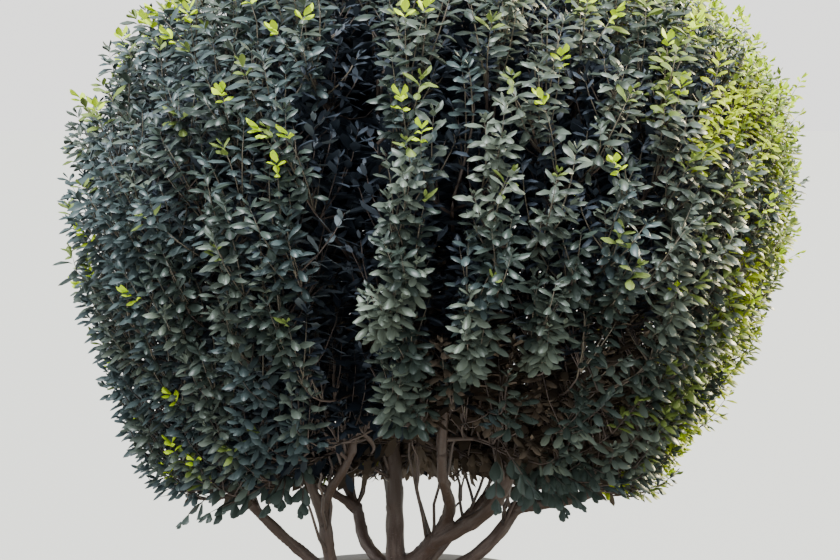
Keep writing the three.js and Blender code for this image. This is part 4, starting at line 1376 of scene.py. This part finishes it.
def twig_part(paths, radii, sides, number):
    count, rings = paths.shape[:2]
    along = unit(np.gradient(paths, axis=1))
    side = unit(np.cross(along, SKEW))[:, :, None]
    other = np.cross(along[:, :, None], side)
    angle = np.arange(sides)[:, None] * TAU / sides
    around = side * np.cos(angle) + other * np.sin(angle)
    tube = paths[:, :-1, None] + around[:, :-1] * np.asarray(radii)[:, :-1, None, None]
    points = np.concatenate([tube.reshape(count, -1, 3), paths[:, -1:]], axis=1)
    triangles = [(0, k + 1, k) for k in range(1, sides - 1)]
    for ring in range(rings - 2):
        for k in range(sides):
            a, b = ring * sides + k, ring * sides + (k + 1) % sides
            triangles += [(a, b, b + sides), (a, b + sides, a + sides)]
    last = (rings - 2) * sides
    triangles += [(last + k, last + (k + 1) % sides, last + sides) for k in range(sides)]
    triangles = repeated(count, points.shape[1], np.array(triangles))
    return points.reshape(-1, 3), triangles, np.full(len(triangles), number)


bearing = np.isin(np.arange(len(spray_paths)), shoots["spray"][leafy])
# shoots in the shade and low in the crown get the dark twig colour: painted shade
twigs_in_painted_shade = shoots["shaded"] | (shoots["end"][:, 2] < TWIG_SHADE_BELOW)
inner, outer = leafy[twigs_in_painted_shade[leafy]], leafy[~twigs_in_painted_shade[leafy]]
blades = all_blades()
leaf_total = twig_total = largest = 0
for mass, node_name in MASS_NODES.items():
    suffix = node_name.removeprefix("foliage_")
    parts = []
    for leaves, points, triangles in blades:
        mine = shoot_mass[leaves["shoot"]] == mass
        parts.append(leaf_part(points[mine], leaves["tint"][mine], triangles))
    leaf_mesh = joined_mesh(f"leaves_{suffix}", parts, LEAF_MATERIALS)
    finished_piece(f"leaves_{suffix}", leaf_mesh, [node_name])
    kinds = (
        (branch_paths, branch_radii, 6, 0, branch_mass),
        (riser_paths, riser_radii, 5, 0, riser_mass),
        (spray_paths[bearing], spray_radii[bearing], 4, 0, spray_mass[bearing]),
        (shoot_paths[inner], shoot_radii[inner], 3, 0, shoot_mass[inner]),
        (shoot_paths[outer], shoot_radii[outer], 3, 1, shoot_mass[outer]),
    )
    parts = []
    for paths, radii, sides, number, masses in kinds:
        parts.append(twig_part(paths[masses == mass], radii[masses == mass], sides, number))
    twig_mesh = joined_mesh(f"twigs_{suffix}", parts, [TWIG, YOUNG_TWIG])
    finished_piece(f"twigs_{suffix}", twig_mesh, [node_name])
    leaf_total += len(leaf_mesh.polygons)
    twig_total += len(twig_mesh.polygons)
    largest = max(largest, len(leaf_mesh.polygons), len(twig_mesh.polygons))
print(leaf_total, "triangles of leaves,", twig_total, "of twigs; the largest piece has", largest)

# %% [markdown]
# Trunk, stems and boughs are one skin of bark on the real plant, with no seams at the forks. Each limb is
# first a tube, grown ring by ring: a circle is extruded and carried to the next point of its line. A
# voxel remesh then fuses the overlapping tubes into one skin with soft joints. Fitting the tubes together
# by hand would give cleaner faces, but a fork of bark has no clean faces.

# %% Bark tubes
BARK_SIDES = 12
TRUNK_SIDES = 40
VOXEL = 0.0036
LIMB_WAVER = 0.05  # share of the radius by which a limb swells and thins
TRUNK_HEIGHT = 0.148
TRUNK_PROFILE = (
    (0.492, 0.0960),
    (0.500, 0.0920),
    (0.512, 0.0787),
    (0.533, 0.0626),
    (0.568, 0.0570),
    (0.613, 0.0500),
    (0.638, 0.0400),
    (0.648, 0.0250),
)
LOBES = 5
LOBE_DEPTH = 0.13


def ring_frame(point, direction, radius):
    turn = Vector((0, 0, 1)).rotation_difference(Vector(direction)).to_matrix().to_4x4()
    return Matrix.Translation(Vector(point)) @ turn @ Matrix.Diagonal((radius, radius, radius, 1))


def grow_tube(bm, points, radii, sides):
    directions = np.gradient(points, axis=0)
    before = ring_frame(points[0], directions[0], radii[0])
    first = bmesh.ops.create_circle(bm, cap_ends=True, segments=sides, radius=1, matrix=before)["verts"]
    edges = list({edge for vert in first for edge in vert.link_edges})
    rings = [first]
    for point, direction, radius in zip(points[1:], directions[1:], radii[1:]):
        grown = bmesh.ops.extrude_edge_only(bm, edges=edges)["geom"]
        ring = [part for part in grown if isinstance(part, bmesh.types.BMVert)]
        edges = [part for part in grown if isinstance(part, bmesh.types.BMEdge) and part.is_boundary]
        after = ring_frame(point, direction, radius)
        bmesh.ops.transform(bm, matrix=after @ before.inverted(), verts=ring)
        before = after
        rings.append(ring)
    bmesh.ops.contextual_create(bm, geom=edges)
    return rings


random = np.random.default_rng(3)
bm = bmesh.new()
for name, (line, radii) in limbs.items():
    waver = 1 + LIMB_WAVER * np.sin(np.arange(len(radii)) * 0.9 + random.uniform(0, TAU))
    grow_tube(bm, line, radii * waver, BARK_SIDES)
trunk_points = np.array([(0, 0, height) for height, radius in TRUNK_PROFILE])
trunk_radii = [radius for height, radius in TRUNK_PROFILE]
trunk_rings = grow_tube(bm, trunk_points, trunk_radii, TRUNK_SIDES)
for (height, radius), ring in zip(TRUNK_PROFILE, trunk_rings):
    rise = min(max((height - SOIL_TOP) / TRUNK_HEIGHT, 0), 1)
    for vert in ring:
        angle = math.atan2(vert.co.y, vert.co.x)
        lobe = 1 + LOBE_DEPTH * (1 - rise) ** 0.7 * math.cos(LOBES * angle + 0.6)
        vert.co.x *= lobe
        vert.co.y *= lobe
tube_mesh = mesh_from(bm, "bark_tubes")
tubes = placed("bark_tubes", tube_mesh)
fuse = tubes.modifiers.new("fuse", "REMESH")
fuse.mode = "VOXEL"
fuse.voxel_size = VOXEL
bark_mesh = modified_mesh(tubes, "bark")
bpy.data.objects.remove(tubes)
bpy.data.meshes.remove(tube_mesh)
print(len(bark_mesh.polygons), "faces of bark")

# %% [markdown]
# The relief is real geometry: shallow flutes that run along each limb, finer ridges between them, and the
# swollen knots of old cuts. Every corner of the skin looks up the nearest point of the limbs' lines, or
# of rings inside the stout trunk, which tells how far along and which way round it is. The same numbers
# are kept in the attribute that the bark's pattern reads.

# %% Bark relief
FLUTE = 0.055  # share of the limb's radius
RIDGE = 0.0007
KNOT_HEIGHT = 0.0030
KNOT_SIZE = 0.0075
KNOTS = 60
KNOTS_BELOW = 1.05
TRUNK_SPOTS = 16  # to a ring inside the trunk, at a share of its radius
TRUNK_SPOT_SHARE = 0.7

limb_rows, row_spots = [], []
for number, (name, (line, radii)) in enumerate(limbs.items()):
    for point, direction, radius, way in zip(line, unit(np.gradient(line, axis=0)), radii, travelled(line)):
        limb_rows.append((Vector(point), Vector(direction), float(radius), float(way) + 0.9 * number))
        row_spots.append(Vector(point))
for height, radius in TRUNK_PROFILE[1:-1]:
    for angle in np.arange(TRUNK_SPOTS) * TAU / TRUNK_SPOTS:
        limb_rows.append((Vector((0, 0, height)), Vector((0, 0, 1)), radius, height))
        inner = radius * TRUNK_SPOT_SHARE
        row_spots.append(Vector((math.cos(angle) * inner, math.sin(angle) * inner, height)))
nearest_limb = tree_of(row_spots)

bm = bmesh.new()
bm.from_mesh(bark_mesh)
for smoothing in range(2):
    bmesh.ops.smooth_vert(bm, verts=bm.verts, factor=0.5, use_axis_x=True, use_axis_y=True, use_axis_z=True)
bm.verts.ensure_lookup_table()
bm.normal_update()
random = np.random.default_rng(17)
low_verts = [vert for vert in bm.verts if vert.co.z < KNOTS_BELOW]
knots = tree_of([low_verts[pick].co for pick in random.choice(len(low_verts), KNOTS, replace=False)])
grain = np.empty((len(bm.verts), 3))
moves = []
for vert in bm.verts:
    point, direction, radius, way = limb_rows[nearest_limb.find(vert.co)[1]]
    turn = Vector((0, 0, 1)).rotation_difference(direction)
    apart = turn.inverted() @ (vert.co - point)
    angle = math.atan2(apart.y, apart.x)
    way += apart.z
    around = Vector((math.cos(angle), math.sin(angle), 0))
    grain[vert.index] = (around.x * radius, around.y * radius, way)
    flute = FLUTE * radius * noise.noise(Vector((around.x * 1.3, around.y * 1.3, way * 7)))
    ridge = RIDGE * noise.noise(Vector((around.x * 4.5, around.y * 4.5, way * 22 + 3)))
    knot = knots.find(vert.co)[2] / KNOT_SIZE
    moves.append((vert, vert.normal * (2 * flute + 2 * ridge + KNOT_HEIGHT * math.exp(-knot * knot))))
for vert, move in moves:
    vert.co += move
bm.to_mesh(bark_mesh)
bm.free()
attribute = bark_mesh.attributes.new("grain", "FLOAT_VECTOR", "POINT")
attribute.data.foreach_set("vector", grain.astype(np.float32).ravel())
bark_mesh.materials.clear()
bark_mesh.materials.append(BARK)
bark_mesh.polygons.foreach_set("use_smooth", np.ones(len(bark_mesh.polygons), bool))
bare_nodes = ["trunk", *STEMS, *BOUGHS]
finished_piece("bark", bark_mesh, bare_nodes)
print("bark replaces", len(bare_nodes), "nodes")

# %% [markdown]
# The pot is turned, so it is one profile spun round the axis. The profile goes up the outside, from a
# small foot over the swelling bowl to the bead, the plain collar and the flat lip, and down the inside. A
# subdivided cylinder could be pushed into this shape, but its edges would never be as true as an arc's.

# %% Pot
POT_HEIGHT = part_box("pot")[1].z
LIP_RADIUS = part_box("pot")[1].x
LIP_THICKNESS = 0.024
FOOT_RADIUS = 0.285
FOOT_HEIGHT = 0.014
BELLY_RADIUS = 0.428
BEAD_RADIUS = 0.013
BEAD_HEIGHT = 0.448
COLLAR_RADIUS = 0.436
MOUTH_RADIUS = 0.404
WALL = 0.024
FLOOR = 0.034
SOIL_EDGE = 0.486
POT_STEPS = 144
SHARP_EDGE = math.radians(38)


def bowl_radius(height):
    share = min(max((height - FOOT_HEIGHT) / (BEAD_HEIGHT - FOOT_HEIGHT), 0), 1)
    return mix(FOOT_RADIUS, BELLY_RADIUS, math.sin(share * math.pi / 2) ** 0.9)


def mouth_radius(height):
    return min(MOUTH_RADIUS, bowl_radius(height) - WALL)


def arc_points(centre, radius, first, last, steps):
    angles = np.radians(np.linspace(first, last, steps + 1))
    return [(centre[0] + radius * math.cos(a), centre[1] + radius * math.sin(a)) for a in angles]


def spin_profile(bm, profile, steps):
    """A closed smooth solid from a profile of (radius, height) that starts and ends on the axis."""
    verts = [bm.verts.new((radius, 0, height)) for radius, height in profile]
    edges = [bm.edges.new(pair) for pair in zip(verts, verts[1:])]
    bmesh.ops.spin(
        bm, geom=verts + edges, cent=(0, 0, 0), axis=(0, 0, 1), angle=TAU, steps=steps, use_merge=True
    )
    bmesh.ops.remove_doubles(bm, verts=bm.verts, dist=1e-5)
    bmesh.ops.recalc_face_normals(bm, faces=bm.faces)
    for face in bm.faces:
        face.smooth = True


lip_foot = POT_HEIGHT - LIP_THICKNESS
outside = [(0, 0), (FOOT_RADIUS - 0.010, 0), *arc_points((FOOT_RADIUS - 0.006, 0.006), 0.006, -80, 0, 4)]
outside += [(bowl_radius(h), h) for h in np.linspace(FOOT_HEIGHT, BEAD_HEIGHT - BEAD_RADIUS, 26)]
bead = arc_points((COLLAR_RADIUS, BEAD_HEIGHT), BEAD_RADIUS, -75, 75, 10)
collar = [(COLLAR_RADIUS, height) for height in (BEAD_HEIGHT + BEAD_RADIUS + 0.003, 0.485, 0.502)]
collar += arc_points((COLLAR_RADIUS + 0.010, lip_foot - 0.010), 0.010, 180, 90, 5)
lip = arc_points((LIP_RADIUS - 0.007, lip_foot + 0.007), 0.007, -90, 0, 4)
lip += arc_points((LIP_RADIUS - 0.006, POT_HEIGHT - 0.006), 0.006, 0, 90, 4)
lip += arc_points((MOUTH_RADIUS + 0.008, POT_HEIGHT - 0.008), 0.008, 90, 180, 5)
inside = [(mouth_radius(height), height) for height in np.linspace(POT_HEIGHT - 0.02, FLOOR, 16)]
bm = bmesh.new()
spin_profile(bm, [*outside, *bead, *collar, *lip, *inside, (0, FLOOR)], POT_STEPS)
for edge in bm.edges:
    edge.smooth = edge.calc_face_angle(0) < SHARP_EDGE
pot_mesh = mesh_from(bm, "pot_body")
print(len(pot_mesh.polygons), "faces of pot")

# %% [markdown]
# The finish of the pot is a dark bronze-grey satin glaze. It is a little uneven, with pale specks, dusty
# towards the foot, and it has the faint rings of the wheel. Dust can be painted, but on a turned shape it
# lies at known heights, so it is read from the height.

# %% Pot finish
def pot_finish():
    finish = Finish("pot_glaze", 0.45, Coat_Weight=0.12, Coat_Roughness=0.3)
    here = finish.place()
    clouds = finish.mottle(here, 5.0, 0.32, 0.68)
    specks = finish.mottle(finish.place(None, (1.0, 1.0, 0.6)), 90.0, 0.55, 0.72)
    rings = finish.node("ShaderNodeTexWave", bands_direction="Z")
    rings.inputs["Scale"].default_value = 26.0
    rings.inputs["Distortion"].default_value = 1.2
    rings.inputs["Detail"].default_value = 2.0
    finish.link(here, rings.inputs["Vector"])
    dust = finish.height(0.16, 0.0, interpolation_type="SMOOTHSTEP")
    base = finish.blend(clouds, (0.036, 0.031, 0.028), (0.062, 0.053, 0.046))
    base = finish.blend(specks, base, (0.080, 0.068, 0.059))
    base = finish.blend(finish.add(dust, clouds, "MULTIPLY"), base, (0.120, 0.104, 0.088))
    finish.colour(base)
    finish.rough(finish.spread(clouds, 0.42, 0.60))
    finish.bump(finish.add(rings.outputs["Fac"], specks), 0.0004, 0.5)
    return finish.material


pot_mesh.materials.append(pot_finish())
print("finish:", pot_mesh.materials[0].name)

# %% [markdown]
# Water leaves through three round holes in the foot. They are drilled as on the real pot: three upright
# cylinders are taken away by a Boolean, after which the cylinders have no more use.

# %% Drain holes
DRAINS = 3
DRAIN_RADIUS = 0.012
DRAIN_CIRCLE = 0.12
DRAIN_TURN = 0.5

drilled = placed("drilled", pot_mesh)
cutters = []
for angle in np.arange(DRAINS) * TAU / DRAINS + DRAIN_TURN:
    bm = bmesh.new()
    place = Matrix.Translation((DRAIN_CIRCLE * math.cos(angle), DRAIN_CIRCLE * math.sin(angle), 0))
    size = {"radius1": DRAIN_RADIUS, "radius2": DRAIN_RADIUS, "depth": 3 * FLOOR}
    bmesh.ops.create_cone(bm, cap_ends=True, segments=32, matrix=place, **size)
    cutters.append(placed("cutter", mesh_from(bm, "cutter")))
    drill = drilled.modifiers.new("drain", "BOOLEAN")
    drill.operation = "DIFFERENCE"
    drill.object = cutters[-1]
pot_shell = modified_mesh(drilled, "pot_shell")
for spare in (drilled, *cutters):
    bpy.data.objects.remove(spare)
finished_piece("pot_shell", pot_shell, ["pot"])
print(len(pot_shell.polygons), "faces with the drain holes")

# %% [markdown]
# The potting soil is a body that fills the pot to a little below the lip. It is spun like the pot, and
# its surface is then raised by noise, highest round the trunk, so that it looks raked. A flat disc with a
# bump would look like carpet from the side.

# %% Soil
SOIL_GAP = 0.0003
SOIL_FLAT = 0.14
SOIL_STEPS = 150
SWELLS = ((0.0035, 14, 1.5), (0.0018, 60, 4))  # height, number to a metre, and place in the noise


def soil_height(x, y):
    radius = math.hypot(x, y)
    slope_share = min(max((radius - SOIL_FLAT) / (MOUTH_RADIUS - SOIL_FLAT), 0), 1)
    swell = sum(high * noise.noise(Vector((x * fine, y * fine, place))) for high, fine, place in SWELLS)
    edge = 1 - max(0.0, slope_share - 0.9) * 10
    return mix(SOIL_TOP, SOIL_EDGE, slope_share**1.4) + swell * edge


top_radii = np.linspace(mouth_radius(SOIL_EDGE) - SOIL_GAP, 0.004, 44)
walls = [(mouth_radius(h) - SOIL_GAP, h + SOIL_GAP) for h in np.linspace(FLOOR, SOIL_EDGE - 0.012, 8)]
surface = [(radius, SOIL_EDGE) for radius in top_radii]
bm = bmesh.new()
spin_profile(bm, [(0, FLOOR + SOIL_GAP), *walls, *surface, (0, SOIL_EDGE)], SOIL_STEPS)
for vert in bm.verts:
    if vert.co.z > SOIL_EDGE - 0.001:
        vert.co.z = soil_height(vert.co.x, vert.co.y)
soil_mesh = mesh_from(bm, "soil_body")


def soil_finish(name, dark, light):
    finish = Finish(name, 0.9)
    crumbs = finish.mottle(finish.place(), 160.0, 0.35, 0.68)
    patches = finish.mottle(finish.place(), 14.0)
    finish.colour(finish.blend(patches, finish.blend(crumbs, dark, light), dark))
    finish.bump(crumbs, 0.0025, 0.9)
    return finish.material


soil_mesh.materials.append(soil_finish("soil", (0.020, 0.013, 0.009), (0.070, 0.045, 0.030)))
finished_piece("soil_body", soil_mesh, ["soil"])
print(len(soil_mesh.polygons), "faces of soil")

# %% [markdown]
# Crumbs of compost and bark lie on the soil. Each is the same small lump of twenty faces, dented,
# squashed and turned at random. They could be dropped by a simulation, but on a raked surface they simply
# lie where they fall, half sunk, so arrays place them.

# %% Crumbs
CRUMBS = 1100
CRUMB_SIZE = (0.0025, 0.0085)
CRUMB_DENT = (0.75, 1.2)
CRUMB_SQUASH = (0.45, 1.0)
CRUMB_FLAT = 0.7
CRUMB_EDGE = MOUTH_RADIUS - 0.010

bm = bmesh.new()
bmesh.ops.create_icosphere(bm, subdivisions=1, radius=1)
lump = np.array([vert.co for vert in bm.verts])
lump_triangles = np.array([[vert.index for vert in face.verts] for face in bm.faces])
bm.free()
random = np.random.default_rng(5)
crumb_radius = CRUMB_EDGE * np.sqrt(random.uniform(0.03, 1, CRUMBS))
crumb_place = radial(random.uniform(0, TAU, CRUMBS), crumb_radius, 0.0)
crumb_place[:, 2] = [soil_height(x, y) for x, y, z in crumb_place]
size = random.uniform(*CRUMB_SIZE, (CRUMBS, 1, 1)) * random.uniform(*CRUMB_SQUASH, (CRUMBS, 1, 3))
rough_lump = lump[None] * random.uniform(*CRUMB_DENT, (CRUMBS, len(lump), 1)) * size
spin = random.uniform(0, TAU, CRUMBS)
turned = np.stack(
    [
        rough_lump[..., 0] * np.cos(spin)[:, None] - rough_lump[..., 1] * np.sin(spin)[:, None],
        rough_lump[..., 0] * np.sin(spin)[:, None] + rough_lump[..., 1] * np.cos(spin)[:, None],
        rough_lump[..., 2] * CRUMB_FLAT,
    ],
    axis=-1,
)
crumb_points = crumb_place[:, None] + turned
crumb_kind = np.repeat(random.integers(0, 2, CRUMBS), len(lump_triangles))
crumb_part = (crumb_points.reshape(-1, 3), repeated(CRUMBS, len(lump), lump_triangles), crumb_kind)
crumb_finishes = [
    soil_finish("crumb_dark", (0.026, 0.017, 0.012), (0.060, 0.038, 0.026)),
    soil_finish("crumb_bark", (0.060, 0.036, 0.024), (0.125, 0.080, 0.052)),
]
crumb_mesh = joined_mesh("soil_crumbs", [crumb_part], crumb_finishes)
finished_piece("soil_crumbs", crumb_mesh, ["soil"])
print(CRUMBS, "crumbs of", len(lump_triangles), "faces on the soil")

# %% [markdown]
# The plant stands on a plain pale floor in soft studio light. A warm light from behind and to the right
# gives the yellow-green edge that the photograph has there. A wide cool one from above lays the pale
# sheen on the crests of the leaves, a weak one from the low left opens the shade, and cool surroundings
# fill in the rest. Lights without a distance reach the far floor as well as the near, so that it runs out
# evenly into the surroundings. Lamps close by would leave it dark there.

# %% Floor, light and surroundings
FLOOR_RADIUS = 60.0
FLOOR_COLOUR = (0.42, 0.42, 0.413, 1.0)
WORLD_LIGHT = 1.00  # strength of the surroundings as light, and as the camera sees them
WORLD_SEEN = 2.20
LIGHT_TONE = (0.800, 0.890, 1.0, 1.0)
SEEN_TONE = (0.860, 0.855, 0.835, 1.0)
# name, direction it comes from, spread in degrees, strength, colour
LAMPS = (
    ("sun_side", (3.4, 2.4, 2.1), 14, 8.8, (1.0, 0.88, 0.56)),
    ("sky", (-0.3, -0.9, 3.4), 30, 8.2, (0.92, 0.97, 1.0)),
    ("low_fill", (-3.0, -1.9, 0.35), 90, 1.0, (0.92, 0.96, 1.0)),
)

bm = bmesh.new()
bmesh.ops.create_circle(bm, cap_ends=True, segments=96, radius=FLOOR_RADIUS)
floor_mesh = mesh_from(bm, "floor")
floor_mesh.materials.append(Finish("floor", 0.85, Base_Color=FLOOR_COLOUR).material)
floor = placed("floor", floor_mesh)

world = bpy.data.worlds.new("studio")
world.use_nodes = True
world_nodes = world.node_tree.nodes
background = next(n for n in world_nodes if n.type == "BACKGROUND")
light_path = world_nodes.new("ShaderNodeLightPath")
tone = world_nodes.new("ShaderNodeMix")
tone.data_type = "RGBA"
tone.inputs[6].default_value = LIGHT_TONE
tone.inputs[7].default_value = SEEN_TONE
world.node_tree.links.new(light_path.outputs["Is Camera Ray"], tone.inputs["Factor"])
world.node_tree.links.new(tone.outputs[2], background.inputs["Color"])
strength = world_nodes.new("ShaderNodeMapRange")
strength.inputs["To Min"].default_value = WORLD_LIGHT
strength.inputs["To Max"].default_value = WORLD_SEEN
world.node_tree.links.new(light_path.outputs["Is Camera Ray"], strength.inputs["Value"])
world.node_tree.links.new(strength.outputs["Result"], background.inputs["Strength"])
bpy.context.scene.world = world

for name, place, spread, energy, colour in LAMPS:
    lamp_data = bpy.data.lights.new(name, "SUN")
    lamp_data.angle = math.radians(spread)
    lamp_data.energy = energy
    lamp_data.color = colour
    lamp = placed(name, lamp_data)
    lamp.location = place
    lamp.rotation_euler = (-Vector(place)).to_track_quat("-Z", "Y").to_euler()
print(len(LAMPS), "lamps")

# %% [markdown]
